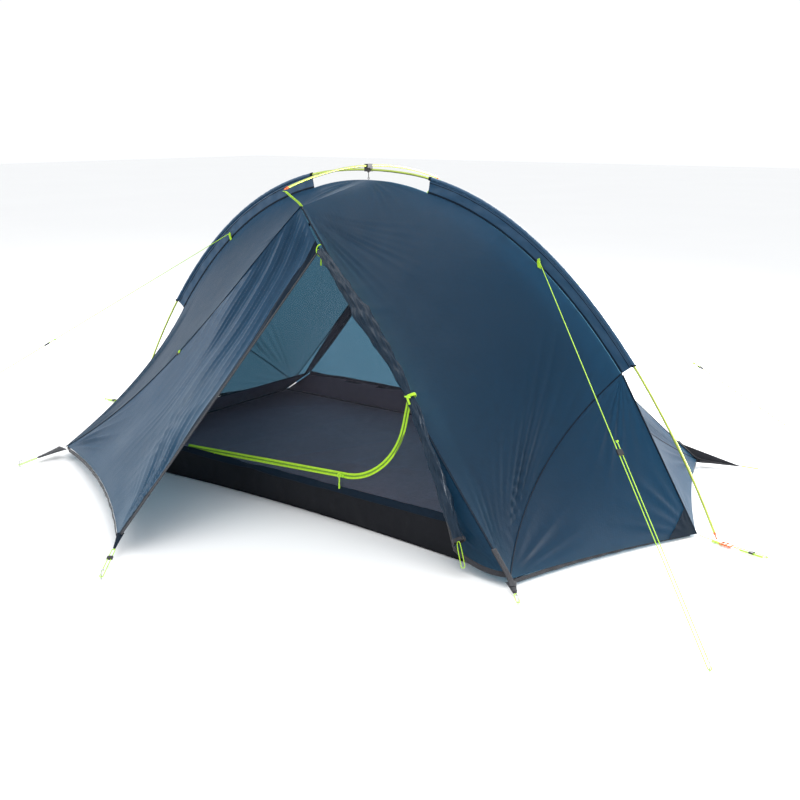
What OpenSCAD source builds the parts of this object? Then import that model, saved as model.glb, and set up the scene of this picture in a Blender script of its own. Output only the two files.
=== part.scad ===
// Two-person tent with one long arched pole, a short brow pole over its crown,
// a coated fly that hangs from pole sleeves, a mesh inner tent and one vestibule.
// X runs along the main pole, -Y is the vestibule side, Z is up.
// The origin is on the underside of the groundsheet, below the crown.

/* [Poles] */
// Height of the main pole's centre line at the crown
crown_height = 1123; // [1110:1:1135]
// Distance from the middle of the tent to each foot of the main pole
pole_foot = 1411; // [1405:1:1420]
// Outside radius of every pole tube
pole_r = 4.25; // [4.1:0.05:4.4]
// Wall thickness of every pole tube
pole_wall = 0.85; // [0.7:0.05:0.95]
// Number of sections in the main pole
pole_sections = 9; // [7:1:11]
// Distance from the crown to each end of the brow pole
brow_reach = 446; // [430:1:455]
// Drop of the brow pole from its middle to its ends
brow_drop = 62; // [55:1:66]

/* [Fly] */
// Height of the fabric fin between the main pole and the fly's ridge seam
sleeve_height = 50; // [46:1:54]
// Distance of each fly peak from the main pole
peak_y = 374; // [365:1:380]
// Height of the fly peaks
peak_z = 1010; // [1000:1:1015]
// Height of the fly's hem above the ground
hem_z = 24; // [16:1:30]
// Thickness that stands for one coated fabric layer
cloth = 1.5; // [1:0.1:1.6]

/* [Vestibule] */
// Distance of the vestibule's apex from the middle of the tent
apex_y = 1220; // [1180:5:1240]
// Height of the vestibule's apex
apex_z = 50; // [40:2:60]

/* [Inner tent] */
// Length of the groundsheet
floor_length = 2100; // [2080:5:2110]
// Width of the groundsheet
floor_width = 1280; // [1270:5:1290]
// Height of the waterproof wall around the groundsheet
tub_height = 120; // [110:2:124]
// Gap between the fly's ridge seam and the mesh roof
inner_gap = 55; // [50:1:58]

/* [Guy lines and pegs] */
// Radius of the guy cord
cord_r = 1.25; // [1:0.05:1.3]
// Height of a peg's shank above the ground
peg_height = 22; // [18:1:26]

/* [Hidden] */
$fn = 32;

// Colours
slate = "#2b4258";
dark_slate = "#22364b";
tub_grey = "#26252b";
mesh_grey = "#4a4a55";
web_grey = "#3c3a40";
lime = "#b8e030";
orange = "#e06020";
black = "#1c1c1e";
metal = "#b9bcc0";

// Fly corners and seam ends on the right side; the left front corner is pulled in a little
peak = [0, -peak_y, peak_z];
corner_right = [1062, -692, hem_z];
corner_left = [-1000, -700, 38];
corner_rear = [1062, 700, hem_z];
crown_cloth_z = 1086;
end_foot = [1342, 0, 8];
sleeve_start = 0.1;
sleeve_end = 0.535;

// Vestibule
door_top = [120, -410, 880];
door_apex = [-20, -apex_y, apex_z];
tie_point = [612, -561, 468];
roll_head = [134, -433, 874];
roll_foot = [885, -692, 100];

// Guy lines: attachment height is on the sleeve, pegs are on the ground
guy_reach = 735;
guy_height = 846;
guy_peg_front_left = [-1830, -925];
guy_peg_front_right = [1700, -815];
guy_peg_rear_left = [-1168, 1452];
guy_peg_rear_right = [1168, 1452];
guy_tail = 30;
knot_r = 2.7;
strand_gap = 10;
loop_z = 9;
tensioner_length = 22;
corner_peg_left = [-1024, -897];
corner_peg_right = [1140, -777];
corner_peg_rear = [1275, 776];
pole_peg = [1586, -55];
apex_peg = [80, -1362];
peg_r = 1.75;

// Inner tent planes: the front mesh leans in as it rises
wall_lean = 1 / 3;
wall_foot_y = 600;
wall_tilt = atan2(1, wall_lean);
inner_top = 830;
inner_corner_left = 860;
inner_corner_right = 940;
floor_front_left = 1005;
door_start = [-387, 12];
door_turn = [359, 246];
door_turn_r = 195;
door_shoulder = [526, 364];
door_head = [90, 800];

// ---- Small helpers ----

function mix(a, b, t) = a + (b - a) * t;
function unit(v) = v / norm(v);
function mirror_x(p) = [-p.x, p.y, p.z];
function mirror_y(p) = [p.x, -p.y, p.z];
// A seam from a to b that sags by the vector s, most of it at skew-shifted mid length
function seam(a, b, s, t, skew = 1) =
    let (k = pow(t, skew)) mix(a, b, t) + 4 * k * (1 - k) * s;

// ---- Main pole curve: w runs from -1 at the left foot to 1 at the right foot ----

function arch(w) = [
    sign(w) * pole_foot * pow(abs(sin(90 * w)), 2 / 2.3), 0,
    crown_height * pow(cos(90 * w), 1.86)];
function arch_normal(w) =
    let (d = unit(arch(min(w + 0.004, 1)) - arch(max(w - 0.004, -1)))) [-d.z, 0, d.x];
arch_steps = 240;
// Length along the pole against w, added up in short steps
arch_table = [for (i = 0, s = 0; i <= arch_steps;
    s = s + norm(arch(2 * (i + 1) / arch_steps - 1) - arch(2 * i / arch_steps - 1)), i = i + 1)
    [s, 2 * i / arch_steps - 1]];
arch_length = arch_table[arch_steps - 1][0];
foot_trim = 30;
function arch_at(s) = arch(lookup(s, arch_table));
section_length = (arch_length - 2 * foot_trim) / pole_sections;

// Ridge seam of the fly: the pole curve moved in by the sleeve, drawn up by the crown hook
function ridge(w) =
    let (p = arch(w) - sleeve_height * arch_normal(w), k = min(1, abs(p.x) / 270))
    p + [0, 0, (crown_cloth_z - crown_height + sleeve_height) * (1 - k * k)];
function inner_ridge(w) = arch(w) - (sleeve_height + inner_gap) * arch_normal(w);

// ---- Sheets: closed solids that follow a grid of points ----

function edge_patch(top, bottom, left, right, u, v) =
    (1 - v) * top(u) + v * bottom(u) + (1 - u) * left(v) + u * right(v)
    - (1 - u) * (1 - v) * top(0) - u * (1 - v) * top(1)
    - (1 - u) * v * bottom(0) - u * v * bottom(1);
// Grid over a patch that stops short of its edges by trim_u and trim_v parts of its size
function patch_grid(top, bottom, left, right, trim_u, trim_v, n = 8, m = 8) =
    [for (j = [0:m]) [for (i = [0:n]) edge_patch(top, bottom, left, right,
        mix(trim_u[0], 1 - trim_u[1], i / n), mix(trim_v[0], 1 - trim_v[1], j / m))]];
function grid_normal(g, j, i) =
    let (rows = len(g) - 1, cols = len(g[0]) - 1,
        du = g[j][min(i + 1, cols)] - g[j][max(i - 1, 0)],
        dv = g[min(j + 1, rows)][i] - g[max(j - 1, 0)][i])
    unit(cross(du, dv));

module sheet(g, thickness = cloth) {
    rows = len(g);
    cols = len(g[0]);
    count = rows * cols;
    upper = [for (j = [0:rows - 1]) for (i = [0:cols - 1])
        g[j][i] + thickness / 2 * grid_normal(g, j, i)];
    lower = [for (j = [0:rows - 1]) for (i = [0:cols - 1])
        g[j][i] - thickness / 2 * grid_normal(g, j, i)];
    cells = [for (j = [0:rows - 2]) for (i = [0:cols - 2]) j * cols + i];
    upper_faces = [for (a = cells) for (f = [[a, a + cols, a + cols + 1], [a, a + cols + 1, a + 1]]) f];
    lower_faces = [for (f = upper_faces) [f[0] + count, f[2] + count, f[1] + count]];
    rim = concat(
        [for (i = [0:cols - 1]) i],
        [for (j = [1:rows - 1]) j * cols + cols - 1],
        [for (i = [cols - 2:-1:0]) (rows - 1) * cols + i],
        [for (j = [rows - 2:-1:1]) j * cols]);
    rim_faces = [for (k = [0:len(rim) - 1])
        let (p = rim[k], q = rim[(k + 1) % len(rim)])
        for (f = [[p, q, q + count], [p, q + count, p + count]]) f];
    polyhedron(concat(upper, lower), concat(upper_faces, lower_faces, rim_faces));
}

// Grid between two edge curves
function ruled_grid(a, b, n, m = 1) = [for (j = [0:m]) [for (i = [0:n]) mix(a(i / n), b(i / n), j / m)]];

// Closed tube through rings of points; every ring has the same number of them
module skin(rings) {
    sides = len(rings[0]);
    last = (len(rings) - 1) * sides;
    wall = [for (i = [0:len(rings) - 2]) for (k = [0:sides - 1])
        let (a = i * sides + k, b = i * sides + (k + 1) % sides)
        for (f = [[a, b, b + sides], [a, b + sides, a + sides]]) f];
    polyhedron([for (ring = rings) for (p = ring) p], concat(wall,
        [[for (k = [sides - 1:-1:0]) k], [for (k = [0:sides - 1]) last + k]]));
}

// ---- Rods, straps and loops between two points ----

// Places children with their +Z along the line from p to q
module along(p, q) {
    d = q - p;
    translate(p) rotate([0, acos(d.z / norm(d)), atan2(d.y, d.x)]) children();
}
// As along, with +X turned towards the direction given
module along_facing(p, q, toward) {
    d = unit(q - p);
    b = acos(d.z);
    c = atan2(d.y, d.x);
    local_x = [cos(b) * cos(c), cos(b) * sin(c), -sin(b)];
    local_y = [-sin(c), cos(c), 0];
    along(p, q) rotate([0, 0, atan2(toward * local_y, toward * local_x)]) children();
}
module rod(p, q, r) {
    along(p, q) cylinder(r = r, h = norm(q - p));
}
module strap(p, q, width, thickness) {
    along(p, q) translate([-thickness / 2, -width / 2, 0]) cube([thickness, width, norm(q - p)]);
}
// Half ring in the local YZ plane that closes two strands at y = 0 and y = gap
module half_ring(gap, r) {
    translate([0, gap / 2, 0]) rotate([0, 90, 0]) rotate([0, 0, -90])
        rotate_extrude(angle = 180) translate([gap / 2, 0]) circle(r);
}
// Long cord loop that starts at p and turns round a peg at q
module cord_loop(p, q, r, gap) {
    length = norm(q - p);
    along(p, q) translate([0, -gap / 2, 0]) {
        cylinder(r = r, h = length);
        translate([0, gap, 0]) cylinder(r = r, h = length);
        translate([0, 0, length]) half_ring(gap, r);
        translate([0, gap, 0]) rotate([180, 0, 0]) half_ring(gap, r);
    }
}
module triangle_plate(a, b, c, thickness) {
    sheet([[a, b], [mix(a, c, 0.93), mix(b, c, 0.93)]], thickness);
}

// ---- Pole pieces: each follows the circle through three points of its curve ----

function circle_centre(a, b, c) =
    let (d = 2 * (a.x * (b.z - c.z) + b.x * (c.z - a.z) + c.x * (a.z - b.z)),
        qa = a.x * a.x + a.z * a.z, qb = b.x * b.x + b.z * b.z, qc = c.x * c.x + c.z * c.z)
    [(qa * (b.z - c.z) + qb * (c.z - a.z) + qc * (a.z - b.z)) / d, 0,
        (qa * (c.x - b.x) + qb * (a.x - c.x) + qc * (b.x - a.x)) / d];
module arc_tube(a, b, c, outer, inner) {
    o = circle_centre(a, b, c);
    start = atan2(c.z - o.z, c.x - o.x);
    sweep = atan2(a.z - o.z, a.x - o.x) - start;
    translate(o) rotate([90, 0, 0]) rotate([0, 0, start])
        rotate_extrude(angle = sweep, $fn = 1440) translate([norm(a - o), 0]) difference() {
            circle(outer, $fn = 24);
            if (inner > 0) circle(inner, $fn = 24);
        }
}
module pole_piece(from, to, outer, inner) {
    arc_tube(arch_at(from), arch_at((from + to) / 2), arch_at(to), outer, inner);
}

ferrule_half = 28;
ferrule_r = pole_r - pole_wall - 0.2;
ferrule_bore = 2.3;
shock_r = 1.3;
shock_steps = 44;
joint_gap = 0.3;

module main_pole_sections() {
    color(lime) for (k = [0:pole_sections - 1])
        pole_piece(foot_trim + k * section_length + joint_gap / 2,
            foot_trim + (k + 1) * section_length - joint_gap / 2, pole_r, pole_r - pole_wall);
}
module pole_ferrules() {
    color(metal) for (k = [1:pole_sections - 1])
        pole_piece(foot_trim + k * section_length - ferrule_half,
            foot_trim + k * section_length + ferrule_half, ferrule_r, ferrule_bore);
}
module pole_shock_cord() {
    color(black) skin([for (i = [0:shock_steps])
        let (w = lookup(mix(foot_trim, arch_length - foot_trim, i / shock_steps), arch_table))
        [for (a = [0:45:315]) arch(w) + shock_r * (cos(a) * arch_normal(w) + [0, sin(a), 0])]]);
}
// Plug in the tube end with a narrower pin that stands in the end strap's eyelet
module pole_tips() {
    color(orange) for (side = [-1, 1]) {
        end = arch_at(side < 0 ? foot_trim : arch_length - foot_trim);
        dir = unit(end - arch_at(side < 0 ? foot_trim + 20 : arch_length - foot_trim - 20));
        rod(end + 0.3 * dir, end + 8 * dir, pole_r);
        rod(end + 7 * dir, end + 24 * dir, 2.2);
    }
}

// ---- Brow pole and crown hub ----

brow_z = crown_height + 14;
brow_end_gap = 0.3;
function brow(y) = let (r = (brow_reach * brow_reach + brow_drop * brow_drop) / (2 * brow_drop))
    [y, 0, brow_z - r + sqrt(r * r - y * y)];
// The brow curve is drawn in the XZ plane and turned to lie across the main pole
module brow_piece(from, to, outer, inner) {
    rotate([0, 0, 90]) arc_tube(brow(from), brow((from + to) / 2), brow(to), outer, inner);
}
brow_joint = 150;
brow_cut = brow_reach - 10;

module brow_pole_sections() {
    color(lime) {
        brow_piece(-brow_cut, -brow_joint - joint_gap / 2, pole_r, pole_r - pole_wall);
        brow_piece(-brow_joint + joint_gap / 2, brow_joint - joint_gap / 2, pole_r, pole_r - pole_wall);
        brow_piece(brow_joint + joint_gap / 2, brow_cut, pole_r, pole_r - pole_wall);
    }
}
module brow_ferrules() {
    color(metal) for (y = [-brow_joint, brow_joint])
        brow_piece(y - ferrule_half, y + ferrule_half, ferrule_r, ferrule_bore);
}
module brow_shock_cord() {
    color(black) brow_piece(-brow_cut, brow_cut, shock_r, 0);
}
module brow_tips() {
    color(orange) for (side = [-1, 1]) rotate([0, 0, side * 90]) {
        end = brow(brow_cut);
        dir = unit(end - brow(brow_cut - 12));
        rod(end + brow_end_gap * dir, end + 9 * dir, pole_r);
        rod(end + 8 * dir, end + 20 * dir, 2.2);
    }
}
// Webbing tabs that join the fly peaks to the ends of the brow pole
module brow_webbing() {
    color(lime) for (side = [-1, 1]) {
        foot = [0, side * (peak_y + 10), peak_z + 14];
        head = [0, side * (brow_reach + 3), brow(brow_cut).z - 13];
        strap(foot, head, 14, 1.6);
        strap(head + [0, side * 2, 0], head + [0, side * 12, 0], 14, 1.6);
    }
}
hub_height = 6.5;
module crown_hub_base() {
    color(black) difference() {
        union() {
            translate([-14, -8, crown_height - hub_height]) cube([28, 16, 2 * hub_height]);
            translate([0, 0, crown_height]) cylinder(r = 8, h = hub_height);
        }
        translate([-20, 0, crown_height - 0.05]) rotate([0, 90, 0]) cylinder(r = pole_r + 0.15, h = 40);
        translate([0, 0, crown_height + pole_r]) cylinder(r = 1.55, h = 10);
    }
}
module crown_hub_saddle() {
    base = crown_height + hub_height + 0.3;
    color(black) difference() {
        translate([-8, -15, base]) cube([16, 30, 14]);
        translate([0, 20, brow_z]) rotate([90, 0, 0]) cylinder(r = pole_r + 0.1, h = 40);
        translate([0, 0, base - 1]) cylinder(r = 1.9, h = 4);
        translate([0, 0, base + 1]) cylinder(r = 3, h = 4);
    }
}
module hub_rivet() {
    color(metal) {
        translate([0, 0, crown_height + 4.6]) cylinder(r = 1.45, h = 4);
        translate([0, 0, crown_height + 8.1]) cylinder(r = 2.6, h = 1.2);
    }
}
module crown_hook() {
    color(black) {
        translate([-4, -3, crown_height - hub_height - 3.2]) cube([8, 6, 3]);
        stem = crown_height - hub_height - crown_cloth_z - 10;
        translate([0, 0, crown_cloth_z + 8]) cylinder(r = 1.4, h = stem);
        translate([0, 0, crown_cloth_z + 5.5]) rotate([90, 0, 0])
            rotate_extrude() translate([3.4, 0]) circle(1.1);
    }
}

// ---- Sleeves: a tube round the pole with a flat fin down to the ridge seam ----

sleeve_bore = pole_r + 1.2;
sleeve_steps = 24;
// Twelve points: a half round over the pole, then down to the fin's foot and back
sleeve_outline = concat(
    [for (a = [-60:30:240]) (sleeve_bore + cloth) * [sin(a), cos(a)]],
    [[-sleeve_height + 3, -1], [-sleeve_height + 3, 1]]);
sleeve_hollow = concat(
    [for (a = [-60:30:240]) sleeve_bore * [sin(a), cos(a)]],
    [sleeve_bore * [sin(265), cos(265)], sleeve_bore * [sin(275), cos(275)]]);

module sleeve(side) {
    n = len(sleeve_outline);
    rings = [for (i = [0:sleeve_steps]) side * mix(sleeve_start, sleeve_end, i / sleeve_steps)];
    points = [for (outline = [sleeve_outline, sleeve_hollow]) for (w = rings) for (p = outline)
        arch(w) + p[0] * arch_normal(w) - [0, side * p[1], 0]];
    hollow = (sleeve_steps + 1) * n;
    last = sleeve_steps * n;
    wall = [for (r = [0:sleeve_steps - 1]) for (k = [0:n - 1])
        let (a = r * n + k, b = r * n + (k + 1) % n)
        for (f = [[a, b, b + n], [a, b + n, a + n]]) f];
    bore = [for (f = wall) [f[0] + hollow, f[2] + hollow, f[1] + hollow]];
    start_cap = [for (k = [0:n - 1]) let (a = k, b = (k + 1) % n)
        for (f = [[a, a + hollow, b + hollow], [a, b + hollow, b]]) f];
    end_cap = [for (f = start_cap) [f[0] + last, f[2] + last, f[1] + last]];
    polyhedron(points, concat(wall, bore, start_cap, end_cap));
}
module sleeve_left() { color(dark_slate) sleeve(-1); }
module sleeve_right() { color(dark_slate) sleeve(1); }

// ---- Fly panels: side is 1 for the right half, -1 for the left ----

crease_sag = [-95, -20, -10];
left_crease_sag = [-40, -20, -10];
function crease_vector(side, rear) =
    let (s = side < 0 && !rear ? left_crease_sag : crease_sag, y = rear ? 1 : -1)
    [side * s.x, -y * s.y, s.z];
function fly_corner(side, rear) =
    rear ? [side * corner_rear.x, corner_rear.y, corner_rear.z] : (side > 0 ? corner_right : corner_left);
function seam_sag(side, rear) = rear || side > 0 ? [0, 0, -6] : [34, 12, -44];
function sleeve_foot() = ridge(sleeve_end);

module main_panel(side, rear) {
    y = rear ? 1 : -1;
    corner = fly_corner(side, rear);
    top = function (u) let (p = ridge(side * sleeve_end * u)) [p.x, 0, p.z];
    bottom = function (u) seam([0, y * peak_y, peak_z], corner, seam_sag(side, rear), u, 1.4);
    left = function (v) mix([0, 0, crown_cloth_z], [0, y * peak_y, peak_z], v);
    right = function (v) seam([side * sleeve_foot().x, 0, sleeve_foot().z], corner,
        crease_vector(side, rear), v);
    sheet(patch_grid(top, bottom, left, right, [0.004, 0.005], [0.012, 0.006], 9, 7));
}
module fly_front_left() { color(slate) main_panel(-1, false); }
module fly_front_right() { color(slate) main_panel(1, false); }
module fly_rear_left() { color(slate) main_panel(-1, true); }
module fly_rear_right() { color(slate) main_panel(1, true); }

module end_panel(side, rear) {
    y = rear ? 1 : -1;
    head = [side * sleeve_foot().x, 0, sleeve_foot().z];
    foot = [side * end_foot.x, 0, end_foot.z];
    corner = fly_corner(side, rear);
    top = function (u) head;
    bottom = function (u) seam(foot, corner, [side * -18, 0, 2], u);
    left = function (v) mix(head, foot, v);
    right = function (v) seam(head, corner, crease_vector(side, rear), v);
    sheet(patch_grid(top, bottom, left, right, [0.012, 0.012], [0.04, 0.012], 6, 7));
}
module fly_end_left() {
    color(slate) {
        end_panel(-1, false);
        end_panel(-1, true);
    }
}
module fly_end_right() {
    color(slate) {
        end_panel(1, false);
        end_panel(1, true);
    }
}
module fly_rear_wall() {
    rear_peak = mirror_y(peak);
    corner_a = fly_corner(-1, true);
    corner_b = fly_corner(1, true);
    top = function (u) rear_peak;
    bottom = function (u) seam(corner_a, corner_b, [0, -25, 0], u);
    left = function (v) seam(rear_peak, corner_a, seam_sag(-1, true), v, 1.4);
    right = function (v) seam(rear_peak, corner_b, seam_sag(1, true), v, 1.4);
    color(slate) sheet(patch_grid(top, bottom, left, right, [0.004, 0.004], [0.02, 0.004], 10, 8));
}
hem_gap = 5;
hem_width = 12;
// Folded edge tape that hangs below the end panels and the rear wall
module hem_run(a, b, sag) {
    low = function (t) seam(a, b, sag, t) - [0, 0, hem_gap + hem_width];
    high = function (t) seam(a, b, sag, t) - [0, 0, hem_gap];
    sheet(ruled_grid(low, high, 6));
}
module fly_hem() {
    color(web_grey) {
        for (side = [-1, 1]) for (rear = [false, true]) {
            corner = fly_corner(side, rear);
            inner_end = [side * (end_foot.x - 16), (rear ? 1 : -1) * 14, hem_gap + hem_width + 2];
            hem_run(inner_end, mix(inner_end, corner, 0.985), [side * -18, 0, 2]);
        }
        hem_run(mix(fly_corner(-1, true), fly_corner(1, true), 0.01),
            mix(fly_corner(-1, true), fly_corner(1, true), 0.99), [0, -25, 0]);
    }
}

// ---- Vestibule door, its zip and its pegged tip ----

door_edge = unit(door_apex - door_top);
// From the free edge towards the fly, in the plane of the door
door_inward = let (v = mix(peak, corner_left, 0.6) - mix(door_top, door_apex, 0.5))
    unit(v - (v * door_edge) * door_edge);
door_under_normal = unit(cross(door_edge, door_inward));
door_hem_sag = [30, 30, 20];

module vestibule_door() {
    top = function (u) seam(peak, corner_left, seam_sag(-1, false), u, 1.4);
    bottom = function (u) mix(door_top, door_apex, u) + 9 * door_inward;
    left = function (v) mix(peak, door_top + 9 * door_inward, v);
    right = function (v) seam(corner_left, door_apex + 9 * door_inward, door_hem_sag, v);
    color(slate) sheet(patch_grid(top, bottom, left, right, [0.004, 0.014], [0.006, 0], 9, 8));
}
zip_start = 6;
zip_coil_r = 1.5;
module door_zip() {
    a = door_top + zip_start * door_edge;
    b = door_apex - 20 * door_edge;
    color(web_grey) {
        rod(a, b, zip_coil_r);
        sheet([[a + 0.5 * door_inward, b + 0.5 * door_inward],
            [a + 8 * door_inward, b + 8 * door_inward]], 1);
    }
}
module door_hem() {
    drop = function (t) seam(corner_left, door_apex + 9 * door_inward, door_hem_sag, mix(0.05, 0.94, t));
    low = function (t) drop(t) - [0, 0, 14];
    color(web_grey) sheet(ruled_grid(low, drop, 7));
}
slider_at = 16;
bail_r = 0.9;
bail_half = 3.6;
pull_offset = 11;
module vestibule_slider() {
    p = door_top + slider_at * door_edge;
    color(lime) {
        along_facing(p, p + door_edge, door_inward) difference() {
            translate([-5, -4, -7]) cube([10, 8, 14]);
            translate([0, 0, -10]) cylinder(r = zip_coil_r + 0.4, h = 20);
            translate([0, -1, -10]) cube([10, 2, 20]);
        }
        for (x = [-bail_half, bail_half])
            rod(p + 3 * door_under_normal + [x, 0, 0], pull_pivot + [x, 0, 0], bail_r);
        rod(pull_pivot - [bail_half + bail_r, 0, 0], pull_pivot + [bail_half + bail_r, 0, 0], bail_r);
    }
}
pull_pivot = door_top + slider_at * door_edge + pull_offset * door_under_normal;
pull_ring_r = 9;
pull_cord_r = 1.2;
module vestibule_pull() {
    ring_drop = pull_ring_r - pull_cord_r - bail_r - 0.4;
    knot = pull_pivot - [0, 0, ring_drop + pull_ring_r];
    color(lime) {
        translate(pull_pivot - [0, 0, ring_drop]) rotate([0, 90, 0]) rotate_extrude()
            translate([pull_ring_r, 0]) circle(pull_cord_r);
        rod(knot, knot - [0, 0, 16], pull_cord_r + 0.2);
    }
}
door_tip = door_apex + [20, -30, -12];
tip_cord_end = [apex_peg.x, apex_peg.y, loop_z];
tip_dir = unit(tip_cord_end - door_tip);
module door_tip_webbing() {
    low_left = seam(corner_left, door_apex, door_hem_sag, 0.965) + [4, -12, -18];
    color(web_grey) triangle_plate(low_left, door_apex + [10, -6, 2], door_tip, 2);
}
module door_tip_cord() {
    color(lime) cord_loop(door_tip + 7 * tip_dir, tip_cord_end, cord_r, strand_gap);
}
tip_adjuster_at = 0.35;
module door_tip_adjuster() {
    p = mix(door_tip, tip_cord_end, tip_adjuster_at);
    color(black) along(p, tip_cord_end) cord_lock();
}
// Small block with two bores that two cord strands run through
module cord_lock() {
    difference() {
        translate([-3.2, -strand_gap / 2 - 3.5, -7]) cube([6.4, strand_gap + 7, 14]);
        for (y = [-1, 1]) translate([0, y * strand_gap / 2, -10]) cylinder(r = cord_r + 0.4, h = 20);
    }
}

// ---- The other vestibule half, rolled to the right and tied back ----

roll_steps = 9;
roll_sides = 10;
roll_bulge = 17 * [0.57, -0.38, 0.73];
function roll_line(t) = t < 0.55
    ? mix(roll_head, tie_point, t / 0.55) + sin(180 * t / 0.55) * roll_bulge
    : mix(tie_point, roll_foot, (t - 0.55) / 0.45);
// Radius along the roll: slim at the top, tight at the tie, loose at the foot
function roll_radius(t) = t < 0.55 ? 9 + 14 * sin(180 * t / 0.6) : 12 + 9 * (t - 0.55) / 0.45;
module vestibule_rolled_door() {
    color(slate) {
        skin([for (i = [0:roll_steps]) let (t = i / roll_steps, p = roll_line(t), r = roll_radius(t))
            [for (k = [0:roll_sides - 1])
                p + r * [cos(360 * k / roll_sides), sin(360 * k / roll_sides), 0]]]);
        triangle_plate([848, -662, 56], mix(corner_right, tie_point, 0.1) + [-24, -9, 0],
            tie_point + [-16, 8, -24], cloth);
    }
}
module tieback() {
    color(lime) {
        translate(tie_point) rotate([0, -45, -20]) difference() {
            cylinder(r = 17, h = 8, center = true);
            cylinder(r = 15.5, h = 10, center = true);
        }
        translate(tie_point + [0, -20, 2]) rotate([0, 90, 0]) cylinder(r = 2.5, h = 22, center = true);
    }
}

// ---- Corner webbing, loops and pole end straps ----

function out_to(peg) = [peg.x, peg.y, loop_z];
corner_pegs = [corner_peg_left, corner_peg_right, corner_peg_rear, [-corner_peg_rear.x, corner_peg_rear.y]];
corners = [corner_left, corner_right, corner_rear, mirror_x(corner_rear)];
tip_share = [0.62, 0.62, 0.72, 0.72];
function webbing_tip(k) = mix(corners[k], out_to(corner_pegs[k]), tip_share[k]);

module corner_webbing() {
    spread = [62, 34, 58, 58];
    color(web_grey) for (k = [0:3]) {
        c = corners[k];
        d = unit([corner_pegs[k].x - c.x, corner_pegs[k].y - c.y, 0]);
        n = [-d.y, d.x, 0];
        root = c + 14 * d - [0, 0, 2];
        triangle_plate(root + spread[k] / 2 * n, root - spread[k] / 2 * n, webbing_tip(k), 2);
    }
}
module corner_loops() {
    color(lime) for (k = [0:3]) {
        d = unit(out_to(corner_pegs[k]) - webbing_tip(k));
        cord_loop(webbing_tip(k) + 7 * d, out_to(corner_pegs[k]), cord_r, strand_gap);
    }
}
strap_height = 7;
function strap_point(side, t) =
    [side * mix(end_foot.x, pole_peg.x, t), mix(0, pole_peg.y, t), strap_height];
buckle_from = 0.36;
buckle_to = 0.52;
loop_from = 0.57;
adjuster_at = 0.53;
module pole_end_straps() {
    color(lime) for (side = [-1, 1]) {
        rod(strap_point(side, 0.03) + [0, 0, 1], strap_point(side, 0.25), cord_r);
        strap(strap_point(side, 0.235) + [0, 0, -3.5], strap_point(side, 0.35) + [0, 0, -3.5], 14, 1.6);
        cord_loop(strap_point(side, loop_from), [side * pole_peg.x, pole_peg.y, loop_z],
            cord_r, strand_gap);
    }
}
module pole_end_buckles() {
    color(orange) for (side = [-1, 1]) {
        p = strap_point(side, buckle_from);
        q = strap_point(side, buckle_to);
        along(p, q) difference() {
            translate([-2.5, -11, 0]) cube([5, 22, norm(q - p)]);
            for (y = [6, 20]) translate([-5, -8, y]) cube([10, 16, 6]);
        }
    }
}
module pole_end_adjuster(side) {
    finish = [side * pole_peg.x, pole_peg.y, loop_z];
    p = mix(strap_point(side, loop_from), finish, adjuster_at);
    color(black) along(p, finish) cord_lock();
}
module pole_end_adjuster_left() { pole_end_adjuster(-1); }
module pole_end_adjuster_right() { pole_end_adjuster(1); }

// ---- Inner tent ----

function floor_edge(side, t) = [mix(side < 0 ? -floor_front_left : -floor_length / 2, floor_length / 2, t),
    side * (floor_width / 2 - (side < 0 ? 60 : 12) * sin(180 * t)), 0];
module inner_floor() {
    outline = concat([for (t = [0:0.1:1]) floor_edge(-1, t)], [for (t = [1:-0.1:0]) floor_edge(1, t)]);
    color(tub_grey) linear_extrude(1.2) polygon([for (p = outline) [p.x, p.y]]);
}
function tub_top(side, t) =
    [mix(-inner_corner_left, inner_corner_right, t), side * wall_foot_y, tub_height - 3];
module tub_walls() {
    lift = [0, 0, 1.8];
    color(tub_grey) {
        for (side = [-1, 1]) {
            low = function (t) floor_edge(side, mix(0.004, 0.996, t)) + lift;
            high = function (t) tub_top(side, mix(0.004, 0.996, t));
            sheet(ruled_grid(low, high, 8, 2));
        }
        for (end = [0, 1]) {
            low = function (t) mix(floor_edge(-1, end), floor_edge(1, end), mix(0.01, 0.99, t)) + lift;
            high = function (t) mix(tub_top(-1, end), tub_top(1, end), mix(0.01, 0.99, t));
            sheet(ruled_grid(low, high, 2, 2));
        }
    }
}
// Draws in the plane of the front mesh: X is along the tent, Y is up the slope
module on_front_plane() {
    translate([0, -wall_foot_y, tub_height]) rotate([wall_tilt, 0, 0]) children();
}
module door_outline() {
    bend = [for (a = [-90:15:0]) door_turn + door_turn_r * [cos(a), sin(a)]];
    polygon(concat([door_start], bend, [door_shoulder, door_head]));
}
module mesh_outline() {
    slope_top = inner_top / sin(wall_tilt);
    polygon([[-inner_corner_left, 0], [inner_corner_right, 0], [6, slope_top], [-6, slope_top]]);
}
module inner_front_mesh() {
    color(mesh_grey) on_front_plane() linear_extrude(1.2) difference() {
        mesh_outline();
        door_outline();
    }
}
module inner_door() {
    color(mesh_grey) on_front_plane() linear_extrude(1.2) offset(delta = -2) door_outline();
}
module inner_rear_mesh() {
    color(mesh_grey) mirror([0, 1, 0]) on_front_plane() linear_extrude(1.2) mesh_outline();
}
roof_break = 0.75;
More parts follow.
